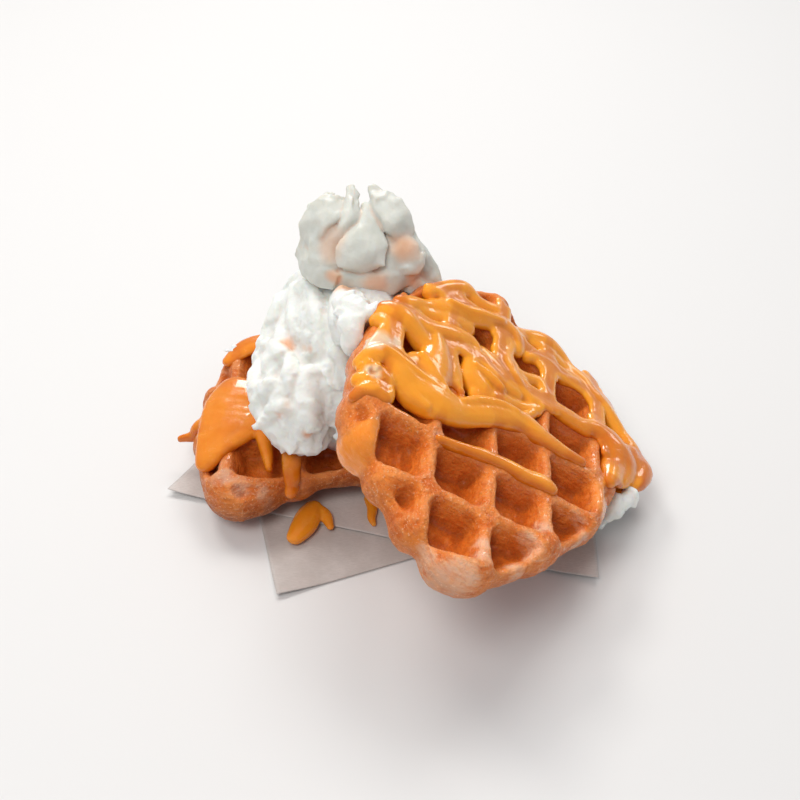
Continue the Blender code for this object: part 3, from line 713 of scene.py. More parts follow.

# %% [markdown]
# The dough keeps notes of itself before it is bent: where each point is in the flat
# drawing, how deep it lies, how pale or brown the iron left it, how much painted shade
# darkens its lower sides, and how wet or glazed it is.  The finish reads them, so its
# colours follow the lattice wherever the piece leans.

# %% Notes for the finish, then laying the pieces in place
PALE_RIGHT = [
    (-1.01, -2.70, 0.26), (-0.70, -2.80, 0.30), (-1.30, -2.50, 0.20), (-0.54, -2.30, 0.17),
    (-0.54, -2.06, 0.14), (0.18, -1.75, 0.24), (0.05, -2.05, 0.20), (0.36, -1.28, 0.18),
    (1.10, -0.74, 0.22), (1.26, -0.90, 0.18), (-1.24, -0.84, 0.12), (-0.33, -1.22, 0.10),
    (-1.46, -0.50, 0.14),
]
GLAZE_RIGHT = [
    [(-2.44, -0.86, 2.6), (-2.54, -1.04, 4.4), (-2.58, -1.26, 5.4), (-2.58, -1.46, 4.6),
     (-2.54, -1.64, 3.4)],
    [(-2.66, -1.10, 3.4), (-2.80, -1.32, 3.6), (-2.92, -1.50, 2.6)],
    [(1.54, 0.42, 2.0), (1.62, 0.14, 3.6), (1.58, -0.22, 3.2)],
]
PALE_LEFT = [
    (-0.62, -0.15, 0.20), (-0.52, -0.42, 0.20), (-0.25, -0.60, 0.20), (0.07, -0.66, 0.14),
    (-1.0, 1.9, 0.4),
]
# How brown each piece is on top, and how much darker its lower sides get, as painted shade.
BROWN_AND_SHADE = {"dough_left": (0.40, 0.50), "dough_right": (0.0, 0.35)}


def near_runs(piece, runs, u, v):
    """How far points are from the edge of the nearest string of sauce."""
    nearest = np.full(len(u), 1.0)
    for run in runs:
        path = smooth_path([(a * piece.pitch, b * piece.pitch, r * MM) for a, b, r in run], 4)
        for a, b, radius in path:
            nearest = np.minimum(nearest, np.hypot(u - a, v - b) - radius)
    return nearest


def near_spots(piece, rows, spots, core=0.5, end=1.3):
    """1 within some spots of the flat drawing, 0 away from them."""
    share = np.zeros(len(rows))
    for u, v, reach in spots:
        away = np.hypot(rows[:, 0] / piece.pitch - u, rows[:, 1] / piece.pitch - v)
        away += 0.05 * grain(rows, 2.0 * MM, 16)
        share = np.maximum(share, 1.0 - smoothstep(core * reach, end * reach, away))
    return share


def note_dough(item, piece, pale_spots, runs, glazed=()):
    """Store what the finish needs, from the flat drawing."""
    rows = points_of(item)
    u, v, w = rows.T
    deep = np.clip(-w / POCKET_DEPTH, 0.0, 1.0) * past_rim(rim_distance(piece.ring, u, v))
    pale = near_spots(piece, rows, pale_spots, 0.1, 1.6) * np.clip(1.0 - 1.3 * deep, 0.0, 1.0)
    store(item, "flat", rows)
    store(item, "deep", deep)
    store(item, "pale", pale)
    # Browning on top, plus painted shade on the lower sides and the underside.
    top, side = BROWN_AND_SHADE[item.name]
    store(item, "brown", top + side * smoothstep(3.0 * MM, 9.0 * MM, -w) * (1.0 - deep))
    store(item, "wet", 1.0 - smoothstep(0.0, 4.5 * MM, near_runs(piece, runs, u, v)))
    edge = near_runs(piece, glazed, u, v) + 0.9 * MM * grain(rows, 3.5 * MM, 17)
    glaze = 1.0 - smoothstep(-1.8 * MM, 1.0 * MM, edge)
    store(item, "glaze", glaze)
    rows = rows + normals_of(item) * (0.5 * MM * glaze)[:, None]
    put_points(item, piece.lay(rows))


AMBER = [(1.90, 1.30, 0.60), (2.45, 1.40, 0.40), (1.20, 0.50, 0.40)]
MILKY = [(-2.86, 0.50, 0.20), (-2.68, 0.62, 0.20), (-2.46, 0.72, 0.10), (-2.72, -0.02, 0.12)]


def note_sauce(item, piece, share, milky_spots=(), amber_spots=()):
    """Store how high the sauce stands, for its colour and painted light, and where cream ran into
    it, then lay it.
    """
    rows = points_of(item)
    share = share * (1.0 - 0.8 * near_spots(piece, rows, amber_spots))
    store(item, "flat", rows)
    sauce_height = rows[:, 2] + POCKET_DEPTH * pressed(piece, rows[:, 0], rows[:, 1])
    # The finish paints the sauce lighter where it stands high, partly as painted light on its tops.
    store(item, "high", share * smoothstep(0.3 * MM, 3.8 * MM, sauce_height))
    store(item, "milky", near_spots(piece, rows, milky_spots))
    put_points(item, piece.lay(rows))


note_dough(dough_left, LEFT, PALE_LEFT, LEFT_STRINGS)
note_dough(dough_right, RIGHT, PALE_RIGHT, RIGHT_STRINGS, GLAZE_RIGHT)
note_sauce(sauce_left, LEFT, 0.35)
note_sauce(sauce_right, RIGHT, 1.0, MILKY, AMBER)
for item in (dough_left, dough_right):
    note_hollows(item, 6, 0.35 * MM)
for item in (sauce_left, sauce_right):
    note_hollows(item, 14, 0.6 * MM)
print("dough and sauce laid")

# %% [markdown]
# ## Whipped cream
# The cream came out of a star-shaped nozzle, so it lies in soft folds.  Where it ran down
# between the pieces it tore and curdled into clumps.  Lumps and a fluted tube give the
# mass, single licks of cream laid over it give the folds that catch the light, and creased
# random heights, strongest low down at the front, tear the skin.

# %% Tubes, licks and clumps
MOUND_RINGS = [
    ((-29.0, -38.5, 24.0), 6.0), ((-32.0, -31.0, 31.0), 13.0), ((-32.5, -20.0, 37.0), 15.5),
    ((-28.5, -8.0, 43.5), 13.5), ((-25.0, 1.0, 50.0), 12.5), ((-21.0, 5.0, 54.0), 12.5),
    ((-16.0, 7.0, 57.0), 11.0),
]
MOUND_LUMPS = [
    ((-17.0, -4.0, 33.0), (25.0, 30.0, 32.0)),
    ((-11.5, -14.0, 57.5), (11.0, 13.0, 12.5)),
    ((-14.5, -25.0, 66.5), (6.0, 9.0, 6.5)),
    ((-18.0, -21.0, 65.0), (4.2, 11.0, 8.0)),
    ((-14.6, -34.0, 67.4), (3.6, 5.4, 6.2)),
    ((-21.0, -28.0, 37.0), (7.0, 8.0, 13.0)),
]
CREAM_SKIN = 0.55 * MM
TEAR_SEEDS = (24, 25, 26)
FLUTE_STEPS = 12
LICK_STEPS = 18


def fluted(rings, flutes, depth, turn, seed, axis=None):
    """Rings of a piped tube: rounded lobes with sharp grooves between them."""
    path = smooth_path([(*middle, radius) for middle, radius in rings], 4)
    angles = np.linspace(0.0, 2 * math.pi, flutes * FLUTE_STEPS, endpoint=False)
    sections = []
    for i, (x, y, z, radius) in enumerate(path):
        ahead = path[min(i + 1, len(path) - 1)][:3] - path[max(i - 1, 0)][:3]
        heading = np.array(axis if axis is not None else ahead)
        heading = heading / np.linalg.norm(heading)
        side = np.cross(heading, (0.0, 0.0, 1.0))
        side /= np.linalg.norm(side)
        upward = np.cross(side, heading)
        lobe = np.abs(np.cos(flutes * angles / 2)) ** 0.8
        uneven = 1.0 + 0.05 * np.sin(angles * 2 + seed + 0.1 * i)
        reach = radius * (1.0 - depth + depth * lobe) * uneven
        bend = angles + turn * i
        spot = np.array([x, y, z]) + np.outer(reach * np.cos(bend), side)
        sections.append((spot + np.outer(reach * np.sin(bend), upward)) * MM + SHIFT)
    return sections


def add_lick(bm, spine, facing, edge, lean=0.0):
    """A flattened lick of cream: rows of x, y, z, half width and half thickness.

    The larger edge is, the thinner are its sides.  Below 0 it makes the crest sharp instead.
    Lean pushes the crest to a side.
    """
    path = smooth_path(spine, 5)
    angles = np.linspace(0.0, 2 * math.pi, LICK_STEPS, endpoint=False)
    rings = []
    for i, row in enumerate(path):
        heading = path[min(i + 1, len(path) - 1)][:3] - path[max(i - 1, 0)][:3]
        side = np.cross(facing, heading)
        side /= np.linalg.norm(side)
        out = np.cross(heading, side)
        out /= np.linalg.norm(out)
        ring = row[:3] + np.outer(row[3] * np.cos(angles), side)
        bulge = np.sin(angles) * np.abs(np.sin(angles)) ** edge if edge >= 0 else (
            np.sign(np.sin(angles)) * (1.0 - np.abs(np.cos(angles))) ** -edge)
        rings.append((ring + np.outer(row[4] * bulge, out + lean * side)) * MM + SHIFT)
    add_skin(bm, rings)


def tear(item, weight, coarse, fine):
    """Break the skin into torn shards with steps between them, longer than wide."""
    rows = points_of(item) * np.array([1.0, 1.0, 0.6])
    rows = rows + random_shift(rows, 6.0, TEAR_SEEDS, 2.4)
    rise = coarse * shards(rows, 7.0 * MM, 21) + 0.4 * coarse * shards(rows, 3.2 * MM, 22)
    swell(item, weight * rise)
    reskin(item, CREAM_SKIN, 1, 0.3)
    rows = points_of(item)
    crumb = (shards(rows + random_shift(rows, 2.0, TEAR_SEEDS, 0.6), 1.7 * MM, 23)
             + 0.3 * grain(rows, 0.9 * MM, 27))
    share = np.interp(grain(rows, 9.0 * MM, 28), (-0.2, 0.5), (0.15, 1.0))
    swell(item, fine * crumb * share)


print("heap of", len(MOUND_RINGS), "rings and", len(MOUND_LUMPS), "lumps")

# %% The cream heap
HEAP_SKIN = 0.7 * MM
MOUND_LICKS = [
    # The long sharp fold that comes down from the swirl, and the lobes on its left flank.
    ([(-28.5, 3, 58, 5, 3.5), (-27.4, -4, 60, 6, 6), (-26.4, -11, 59, 6.5, 7.0),
      (-25.8, -18, 55.5, 6, 6.5), (-25.2, -24, 51.5, 4.5, 4)], (0.0, -0.7, 0.7), -1.1),
    ([(-34, 3, 57.5, 4, 3.5), (-33, -4, 56.5, 5, 5), (-32.4, -12, 54.5, 5, 5),
      (-31.5, -17, 52, 3.5, 3.5)], (-0.35, -0.7, 0.6), -1.1),
    ([(-37, 4, 55, 3, 3), (-37.5, 0, 52.5, 4.5, 5), (-39.5, -5, 48, 4.5, 5),
      (-41, -11, 44, 4, 4.5)], (-0.7, -0.5, 0.5), -1.1),
    # The lobe over the leaning piece: its bright crest with a prong, and its torn lip.
    ([(-19.6, -26, 73.6, 2.4, 2.0), (-16.8, -28.0, 76, 4.2, 3.0), (-13.2, -29.2, 75.4, 4.4, 2.8),
      (-10.6, -29.8, 73.6, 2.6, 2.0)], (0.1, -0.5, 0.85), -1.0),
    ([(-13, -31.5, 73, 2.6, 2.0), (-9.2, -30, 73.8, 2.2, 1.8), (-6.2, -27, 76, 0.9, 0.9)],
      (0.1, -0.5, 0.85), -1.0),
    ([(-16.4, -30.0, 75.4, 4.4, 2.2), (-14.8, -34.0, 73.6, 4.4, 2.6),
      (-13.8, -37.2, 70.8, 3.0, 2.2), (-12.8, -39.2, 68.4, 1.2, 1.2)], (0.1, -0.75, 0.65), -0.9),
    ([(-18.8, -28.6, 71.5, 1.6, 1.6), (-18.2, -31.6, 69.4, 1.5, 1.4),
      (-17.6, -34.0, 67.0, 0.7, 0.7)], (-0.3, -0.75, 0.6), 0.5),
    # Ledges on the torn front, from the top down.
    ([(-43.5, -10.5, 44, 2.5, 2.5), (-38.5, -20, 51, 3, 2.5), (-35.2, -24.5, 50, 3.2, 2.6),
      (-34, -30, 47, 3.2, 2.6), (-32.5, -34, 43, 2.5, 2)], (-0.2, -0.8, 0.6), 1.4),
    ([(-45.8, -30, 37.8, 2, 2.2), (-43, -28.5, 41, 3.4, 3), (-39.5, -30, 44, 2.6, 2.4)],
      (-0.3, -0.8, 0.5), 0.8),
    ([(-45.6, -37.5, 33.5, 1.0, 1.0), (-42, -36.8, 36.5, 2.4, 2), (-38.5, -36.5, 39.5, 3, 2.4),
      (-35.5, -37, 43, 2.4, 2)], (-0.3, -0.8, 0.5), 1.4),
    ([(-21, -26, 56.5, 3, 2.5), (-18.2, -28.6, 55.5, 2.6, 2.2), (-15.6, -29.5, 54.2, 1.2, 1.1)],
      (0.2, -0.8, 0.6), 0.8),
    ([(-18, -29, 53, 3, 2.5), (-16.8, -31.5, 48, 3.2, 2.6), (-17.6, -34.5, 41.5, 3.2, 2.6),
      (-17.4, -36.5, 34, 2.6, 2.2), (-20.5, -38, 29, 2.0, 1.8)], (0.4, -0.8, 0.4), 1.2),
    ([(-29.5, -27, 50, 3.5, 2.5), (-28.5, -32, 46, 4.4, 3), (-28, -36.5, 41.5, 4.4, 3),
      (-28, -40, 35, 3.4, 2.5)], (0.0, -0.8, 0.5), 1.2),
    ([(-23, -27, 52, 2.5, 2), (-22, -31, 46.5, 3, 2.6), (-22, -34, 40, 3, 2.6),
      (-23, -37, 33, 2.6, 2.2)], (0.1, -0.8, 0.5), 1.2),
]
# The folds round the back: their directions, and the spine that they share.
FOLD_TURNS = range(-30, 175, 29)
FOLD_SPINE = [(11, 63, 3.5, 3), (19, 53, 5.5, 4), (24, 40, 7, 4.5), (25, 26, 6.5, 4.5),
              (22, 14, 4, 3.5)]
BITS = [
    (LEFT, (-0.70, 2.34, 0.6), (1.7, 2.6, 1.5)), (LEFT, (-0.62, 2.44, 0.9), (1.4, 1.4, 1.2)),
]
# Spots where the heap is tinted orange-brown: caramel stains, plus painted shade that dims some
# lobes.
STAINS_AND_SHADE = [
    ((-28, -22, 53), 2.6), ((-36, -20, 51.5), 3.0), ((-17.5, -14, 71), 4.4), ((-36, -37, 41), 2.6),
    ((-9.5, -33, 66), 3.6), ((-11, -38, 67.5), 2.2), ((-29, -41, 35), 2.0),
]


def cream_heap():
    """The heap between the pieces of dough, and the bits of cream beside it."""
    bm = bmesh.new()
    add_skin(bm, fluted(MOUND_RINGS, 7, 0.20, 0.03, 2.0))
    for middle, radii in MOUND_LUMPS:
        add_blob(bm, np.array(middle) * MM + SHIFT, np.array(radii) * MM, detail=4)
    for spine, facing, edge in MOUND_LICKS:
        add_lick(bm, spine, facing, edge)
    for degrees in FOLD_TURNS:
        c, s = math.cos(math.radians(degrees)), math.sin(math.radians(degrees))
        spine = [(-17 + r * c, -4 + 1.17 * r * s, z, w, t) for r, z, w, t in FOLD_SPINE]
        add_lick(bm, spine, (c, s, 0.3), 0.8)
    for piece, (u, v, w), radii in BITS:
        spot = piece.lay([(u * piece.pitch, v * piece.pitch, w * MM)])[0]
        add_blob(bm, spot, np.array(radii) * MM, u + v)
    item = reskin(new_piece("cream_heap", bm), HEAP_SKIN, 1, 0.5)
    rows = (points_of(item) - SHIFT) / MM
    low = 1.0 - smoothstep(46.0, 60.0, rows[:, 2] + 0.3 * (rows[:, 1] + 20.0))
    flank = 1.0 - smoothstep(-37.0, -32.0, rows[:, 0]) + smoothstep(-20.0, -16.0, rows[:, 0])
    tear(item, 0.26 + np.maximum(0.74 * low, 0.34 * flank), 1.4 * MM, 0.30 * MM)
    note_hollows(item, 16, 0.9 * MM)
    rows = (points_of(item) - SHIFT) / MM
    stain = np.zeros(len(rows))
    for spot, reach in STAINS_AND_SHADE:
        away = np.linalg.norm(rows - np.array(spot), axis=1) + 0.8 * grain(rows, 2.5, 29)
        stain = np.maximum(stain, 1.0 - smoothstep(0.4 * reach, 1.3 * reach, away))
    store(item, "stain", stain)
    return item


heap = cream_heap()

# %% [markdown]
# The swirl on top was one short squeeze of the nozzle.  Its petals bulge at the foot,
# close towards the top and end in loose peaks round a hollow.  Each petal is a lick of its
# own, placed as the camera sees it: so far to the right, so far up the picture and so far
# forward from the middle of the swirl.  A thicker, narrower lick behind each one and a
# fluted core join them, so the edges stand free and no gap opens behind them.

# %% The swirl
SWIRL_SKIN = 0.42 * MM
SWIRL_MIDDLE = np.array([-12.5, 5.0, 70.0])
SWIRL_CORE = [
    ((-8.0, 3.0, 54.0), 12.5), ((-10.0, 4.0, 61.0), 14.0), ((-12.0, 5.0, 67.0), 12.0),
    ((-13.5, 6.5, 73.0), 9.5), ((-15.0, 8.0, 77.0), 6.0),
]
BEHIND, NARROWER, THICKER = 0.55, 0.74, 0.35
PICTURE_UP = np.array([0.0, math.sin(CAMERA_TILT), math.cos(CAMERA_TILT)])
FORWARD = np.array([0.0, -math.cos(CAMERA_TILT), math.sin(CAMERA_TILT)])
# Spots of warm painted shade on the swirl: a place as seen, a reach and a share.
PEACH_SHADE = [
    ((13, 0, 11), 6.0, 0.9), ((-8, 0, 12), 7.0, 0.5), ((4, -11, 13), 5.0, 0.7),
    ((16, -9, 8), 5.0, 0.7), ((-8, -9.5, 11), 3.0, 0.8),
]
PETALS = [
    # The broad petal at the left, its ruffled top edge, the recess and the fold under it.
    ([(-18.2, -2.5, 3, 2.2, 1.6), (-15.6, 4, 8, 4.6, 2.4), (-11.8, 10, 10.5, 5.6, 2.6),
      (-7.6, 14.8, 9, 4.0, 2.0)], (-0.4, -0.1, 0.9), -1.5),
    ([(-15.5, 8, 7, 2.5, 1.8), (-15.0, 13.5, 5, 2.3, 1.4)], (-0.4, 0.0, 0.9), 0.0),
    ([(-10.5, 12, 8, 2.6, 1.8), (-10.0, 17.3, 5.5, 2.2, 1.2)], (-0.3, 0.0, 0.9), 0.0),
    ([(-6.8, 12, 8, 2.0, 1.6), (-6.6, 16.2, 6, 1.6, 1.1)], (0.0, 0.0, 1.0), 0.0),
    ([(-5.4, 10.0, 8.5, 3.4, 1.8), (-8.4, 3.5, 11, 6.6, 2.2), (-10.6, -3.0, 11, 6.4, 2.2),
      (-11.0, -7.0, 10, 4.6, 2.0)], (-0.15, 0.1, 1.0), 0.5),
    ([(-19.5, -0.5, 2, 2.0, 2.0), (-16.5, -5.0, 6.5, 3.6, 2.6), (-12.0, -8.4, 9.5, 4.0, 2.6),
      (-7.2, -11.2, 11, 2.8, 2.0)], (-0.4, 0.2, 0.9), 0.9),
    # The narrow blade in the middle, and the round tongue in front of it.
    ([(-4.0, 0, 11, 3.4, 2.4), (-3.2, 7, 12, 3.4, 2.8), (-2.8, 13.5, 10, 2.9, 2.4),
      (-3.1, 18.6, 7, 1.5, 1.3)], (0.0, 0.0, 1.0), 0.5),
    ([(2.0, 12.5, 8, 1.8, 1.8), (2.8, 6.5, 11.5, 4.2, 2.4), (1.6, 0.5, 15, 6.6, 3.0),
      (-0.3, -4.0, 16, 7.6, 2.8), (-0.6, -6.6, 14.5, 5.6, 1.8)], (0.0, 0.15, 1.0), 0.0),
    # The tall blade at the right, the recess under it and the shaded one beside it.
    ([(13.4, 2.6, 10, 3.6, 2.2), (11.2, 7.6, 11.5, 5.0, 2.8), (8.2, 12.6, 10, 4.7, 2.4),
      (5.6, 16.6, 8, 3.3, 1.8), (3.4, 19.6, 6, 1.3, 1.2)], (0.3, -0.05, 0.95), 1.0),
    ([(9.0, 6.0, 9.0, 3.6, 1.8), (11.6, 0.6, 11, 5.6, 2.2), (13.8, -4.4, 11, 4.6, 2.2),
      (16.0, -6.6, 9.8, 3.2, 2.0)], (0.25, 0.1, 0.95), 0.6),
    ([(8.0, 3.0, 9.5, 3.0, 1.8), (8.2, -3.0, 11, 4.8, 2.2), (7.6, -8.0, 11.5, 4.2, 2.2)],
      (0.1, 0.1, 1.0), 0.2),
    ([(11.4, 8.5, 4, 3.0, 2), (14.8, 2.5, 5, 4.0, 2.4), (15.8, -3, 6, 4.4, 2.6),
      (14, -8, 6, 3.6, 2.4)], (0.6, 0.0, 0.8), 0.6),
    # The collar at the foot, its curls, and the tail that runs down to the right.
    ([(-9, -8.2, 8.5, 2.5, 1.8), (-4, -10.6, 11, 3.4, 2.0), (3, -11.2, 12, 3.6, 2.0),
      (9.5, -10.4, 11, 3.6, 2.0), (15, -8.6, 7.5, 3.0, 1.8)], (0.0, -0.15, 1.0), 0.8),
    ([(12.0, -3.6, 11, 1.0, 1.0), (13.2, -6.8, 11.5, 2.0, 1.6), (16.0, -7.2, 10.5, 1.9, 1.5),
      (18.0, -4.4, 9.5, 1.5, 1.3), (18.6, -1.6, 9.0, 0.8, 0.8)], (0.2, 0.1, 1.0), 0.6),
    ([(15, 2, 1, 4, 3), (19, -4, 2, 5.0, 3.4), (23, -9.5, 1, 3.2, 2.6), (25, -11.5, 0, 1.4, 1.3)],
     (0.6, 0.3, 0.8), 0.0),
    ([(12, -9, 5, 4, 3), (17, -11.5, 4, 4.2, 3), (22, -13, 2, 2.6, 2.4)], (0.4, 0.3, 0.9), 0.0),
    # The petals behind.
    ([(-13, -6, -6, 4.5, 3), (-15, 3, -7, 6, 3.0), (-12, 9, -4, 4.5, 2.2),
      (-9, 13.5, -1, 1.5, 1.2)], (-0.8, 0.4, -0.6), 0.0),
    ([(-6, -10, -10, 4.5, 3), (-7, 0, -13, 6, 3.2), (-5.5, 8, -8.5, 4.5, 2.4),
      (-4, 14.5, -3.5, 1.6, 1.2)], (-0.4, 0.4, -0.9), 0.0),
    ([(5, -10, -11, 4.5, 3), (6, 0, -13.5, 6, 3.2), (4, 8, -8.5, 4.5, 2.4),
      (2.5, 14.5, -3.5, 1.6, 1.2)], (0.3, 0.4, -0.9), 0.0),
    ([(13, -9, -6, 4.5, 3), (14.5, 0, -7, 5.6, 3.0), (11, 8, -4.5, 4.2, 2.2),
      (8, 13.5, -1, 1.5, 1.2)], (0.8, 0.4, -0.6), 0.0),
]


def as_seen(spine):
    """Rows given to the right, up the picture and forward, as x, y and z."""
    return [(*(SWIRL_MIDDLE + np.array([a, 0.0, 0.0]) + b * PICTURE_UP + c * FORWARD), w, t)
            for a, b, c, w, t in spine]


def swirl():
    """The swirl of cream."""
    bm = bmesh.new()
    add_skin(bm, fluted(SWIRL_CORE, 8, 0.22, 0.02, 1.0, axis=(-7.0, 5.0, 26.0)))
    for spine, (a, b, c), lean in PETALS:
        facing = np.array([a, 0.0, 0.0]) + b * PICTURE_UP + c * FORWARD
        add_lick(bm, as_seen(spine), facing, 1.2, lean)
        backing = [(p - BEHIND * w * a, q - BEHIND * w * b, r - BEHIND * w * c,
                    NARROWER * w, t + THICKER * w) for p, q, r, w, t in spine]
        add_lick(bm, as_seen(backing), facing, 0.0)
    item = reskin(new_piece("cream_swirl", bm), SWIRL_SKIN, 1, 0.3)
    rows = points_of(item)
    drift = random_shift(rows, 5.5, (33, 34, 35), 0.8)
    ruffle = random_shift(rows, 2.4, (36, 37, 38), 0.25)
    up = ((rows - SHIFT) / MM - SWIRL_MIDDLE) @ PICTURE_UP
    ruffle *= (1.0 + 1.4 * smoothstep(8.0, 15.0, up))[:, None]
    put_points(item, rows + drift + ruffle)
    note_hollows(item, 24, 0.9 * MM)
    # Warm painted shade in the recesses and under the petals, kept in the same note as the stains.
    warm_shade = np.zeros(len(rows))
    for spot, reach, share in PEACH_SHADE:
        middle = np.array(as_seen([(*spot, 0, 0)])[0][:3]) * MM + SHIFT
        away = np.linalg.norm(rows - middle, axis=1) / MM + 1.2 * grain(rows, 4.0 * MM, 39)
        warm_shade = np.maximum(warm_shade, share * (1.0 - smoothstep(0.3 * reach, 1.1 * reach, away)))
    store(item, "stain", warm_shade)
    return item


rosette = swirl()

# %% [markdown]
# Under the low side of the leaning piece more cream bulges out.  It follows the plan of
# its solid and the underside of the dough above it.

# %% Cream under the leaning piece
FILLING_PLAN = [
    (77.0, -38.0), (72.0, -46.0), (63.0, -48.0), (50.0, -38.0), (36.0, -22.0), (30.0, -2.0),
    (42.0, 12.0), (60.0, 4.0), (73.0, -14.0),
]
FILLING_LICKS = [
    ([(71, -36, 10, 4, 3), (72, -41, 13, 4.4, 3), (72.0, -45.5, 15.0, 4.0, 3.0)], (0.5, -0.8, 0.3),
      -1.0),
    ([(69, -40, 8, 4, 3), (70.5, -45.5, 11, 4.4, 3), (68.6, -49.4, 12.6, 4.2, 3.0)],
      (0.4, -0.8, 0.3), -1.0),
    ([(65, -43, 5, 4, 3), (66, -48, 8, 4.0, 3.0), (64.8, -51.6, 9.6, 3.2, 2.6)], (0.2, -0.9, 0.3),
      -1.0),
    ([(68.2, -49.6, 17.4, 2.8, 2.2), (66.6, -52.0, 14.6, 3.8, 2.8), (64.2, -54.2, 11.6, 2.8, 2.4),
      (62.4, -55.6, 9.4, 1.2, 1.2)], (0.1, -0.7, 0.7), -0.9),
    ([(72.0, -48.0, 17.2, 2.4, 2.0), (70.4, -50.8, 14.8, 3.2, 2.4), (68.2, -52.4, 12.2, 1.8, 1.6)],
     (0.3, -0.7, 0.6), -0.9),
    ([(59, -46, 5, 3, 3), (61.2, -49.6, 6, 2.6, 2.4), (63.2, -53.2, 5.6, 1.6, 1.5)],
      (0.1, -0.5, 0.8), 0.8),
    ([(71, -17, 5, 3, 3), (70, -12, 9, 4, 3), (65, -4, 12, 3.5, 3)], (0.9, 0.4, 0.2), 0.8),
    ([(60, 2, 5, 3, 3), (56, 4, 9, 4, 3), (46, 7, 12, 3.5, 3)], (0.3, 0.9, 0.2), 0.8),
]
FILLING_FLOOR = 1.9 * MM
FILLING_LEAST = 6.0 * MM
FILLING_SKIN = 0.8 * MM


def underside(x, y, depth):
    """The height of a level inside the leaning piece, above a place on the floor."""
    height = RIGHT.origin[2]
    for _ in range(8):
        offset = np.array([x, y, height]) - RIGHT.origin
        u, v = offset @ RIGHT.across, offset @ RIGHT.along
        spot = RIGHT.lay([(u, v, -depth)])[0] - SHIFT
        gap = (np.array([x, y, height]) - spot) @ RIGHT.out
        height -= gap / RIGHT.out[2]
    return height


def filling():
    """Cream between the leaning piece and the paper."""
    plan = smooth_path(np.array(FILLING_PLAN) * MM, 8, closed=True)
    rings = []
    for share in np.linspace(0.0, 1.0, 8):
        ring = inset(plan, np.full(len(plan), 1.4 * MM + 2.5 * MM * (2 * share - 1) ** 2))
        top = np.array([max(underside(x, y, 0.7 * THICKNESS), FILLING_LEAST) for x, y in ring])
        height = FILLING_FLOOR + (top - FILLING_FLOOR) * share
        rings.append(np.column_stack([ring, height]) + SHIFT)
    bm = bmesh.new()
    add_skin(bm, rings)
    for spine, facing, edge in FILLING_LICKS:
        add_lick(bm, spine, facing, edge)
    item = reskin(new_piece("cream_under", bm), FILLING_SKIN, 1, 0.5)
    tear(item, np.full(len(item.data.vertices), 1.0), 1.0 * MM, 0.25 * MM)
    note_hollows(item, 16, 0.9 * MM)
    return item


under = filling()

# %% [markdown]
# ## Baking paper
# Two thin sheets, laid crosswise.  Each is a fine grid between four corners, with lifted
# corners and faint waves, and gets its thickness at the end.

# %% The two sheets
PAPER_STEP = 0.85 * MM
PAPER_UNDER = [(-55.0, -4.0), (-38.0, -76.8), (57.0, -41.0), (40.0, 30.0)]
PAPER_OVER = [(-76.3, -33.4), (60.5, -70.9), (64.0, -6.0), (-46.0, 20.0)]
PAPER_CURL = 1.5 * MM
PAPER_CURL_REACH = 24.0 * MM
PAPER_THIN = 0.14 * MM


def paper(name, corners, base, curled, seed):
    """One sheet of baking paper."""
    a, b, c, d = (np.array(corner) * MM for corner in corners)
    bm = bmesh.new()
    bmesh.ops.create_grid(bm, x_segments=110, y_segments=80, size=1.0)
    item = new_piece(name, bm)
    rows = points_of(item)
    s, t = (rows[:, :1] + 1) / 2, (rows[:, 1:2] + 1) / 2
    spot = (a * (1 - s) + b * s) * (1 - t) + (d * (1 - s) + c * s) * t
    flat = np.column_stack([spot, np.zeros(len(spot))])
    lift = 0.22 * MM * grain(flat, 13.0 * MM, seed) + 0.06 * MM * grain(flat, 4.0 * MM, seed)
    for index in curled:
        near = 1 - np.linalg.norm(spot - (a, b, c, d)[index], axis=1) / PAPER_CURL_REACH
        lift = lift + PAPER_CURL * np.maximum(near, 0.0) ** 2
    flat[:, 2] = base - 0.2 * MM + np.maximum(lift, -0.1 * MM)
    put_points(item, flat + SHIFT)
    bm = bmesh.new()
    bm.from_mesh(item.data)
    bmesh.ops.solidify(bm, geom=bm.faces, thickness=PAPER_THIN)
    bmesh.ops.recalc_face_normals(bm, faces=bm.faces)
    bm.to_mesh(item.data)
    bm.free()
    return item


sheet_under = paper("sheet_under", PAPER_UNDER, 0.0, [1], 41)
sheet_over = paper("sheet_over", PAPER_OVER, PAPER_STEP, [0, 1], 42)

# %% [markdown]
# Some caramel dripped off the flat piece onto the paper.

# %% Drips on the paper
DRIP_SKIN = 0.35 * MM
DRIPS = [
    [(-28.4, -42.0, 3.2), (-29.8, -46.0, 4.3), (-31.2, -50.0, 4.3), (-33.4, -54.0, 3.1)],
    [(-27.0, -42.5, 2.4), (-24.4, -45.0, 2.3), (-22.6, -49.5, 1.3)],
    [(-10.5, -37.5, 1.8), (-9.4, -41.5, 1.9), (-9.6, -45.6, 1.5), (-8.8, -48.4, 0.9)],
]


def drips():
    """Caramel on the paper."""
    bm = bmesh.new()
    for run in DRIPS:
        for x, y, radius in smooth_path(run, 8):
            middle = np.array([x, y, 1.3 + 0.2 * radius]) * MM + SHIFT
            add_blob(bm, middle, (radius * MM, radius * MM, (0.5 * radius + 0.5) * MM))
    item = reskin(new_piece("drips", bm), DRIP_SKIN, 6, 0.5)
    store(item, "flat", points_of(item))
    store(item, "high", np.full(len(item.data.vertices), 0.6))
    store(item, "hollow", np.full(len(item.data.vertices), 0.4))
    return item


drip = drips()

# %% [markdown]
# ## Finishes
# Every finish is a Principled BSDF whose colour, roughness and bump vary over the
# surface.  One node group, `mottle`, makes an uneven mask and a height from any
# coordinate, and all finishes use it with their own sizes.

# %% Wiring helpers
def attach(tree, kind, inputs=(), **settings):
    """Add a node, set it up, and wire its inputs."""
    node = tree.nodes.new(kind)
    for key, value in settings.items():
        setattr(node, key, value)
    for key, value in dict(inputs).items():
        if isinstance(value, bpy.types.NodeSocket):
            tree.links.new(value, node.inputs[key])
        else:
            node.inputs[key].default_value = value
    return node


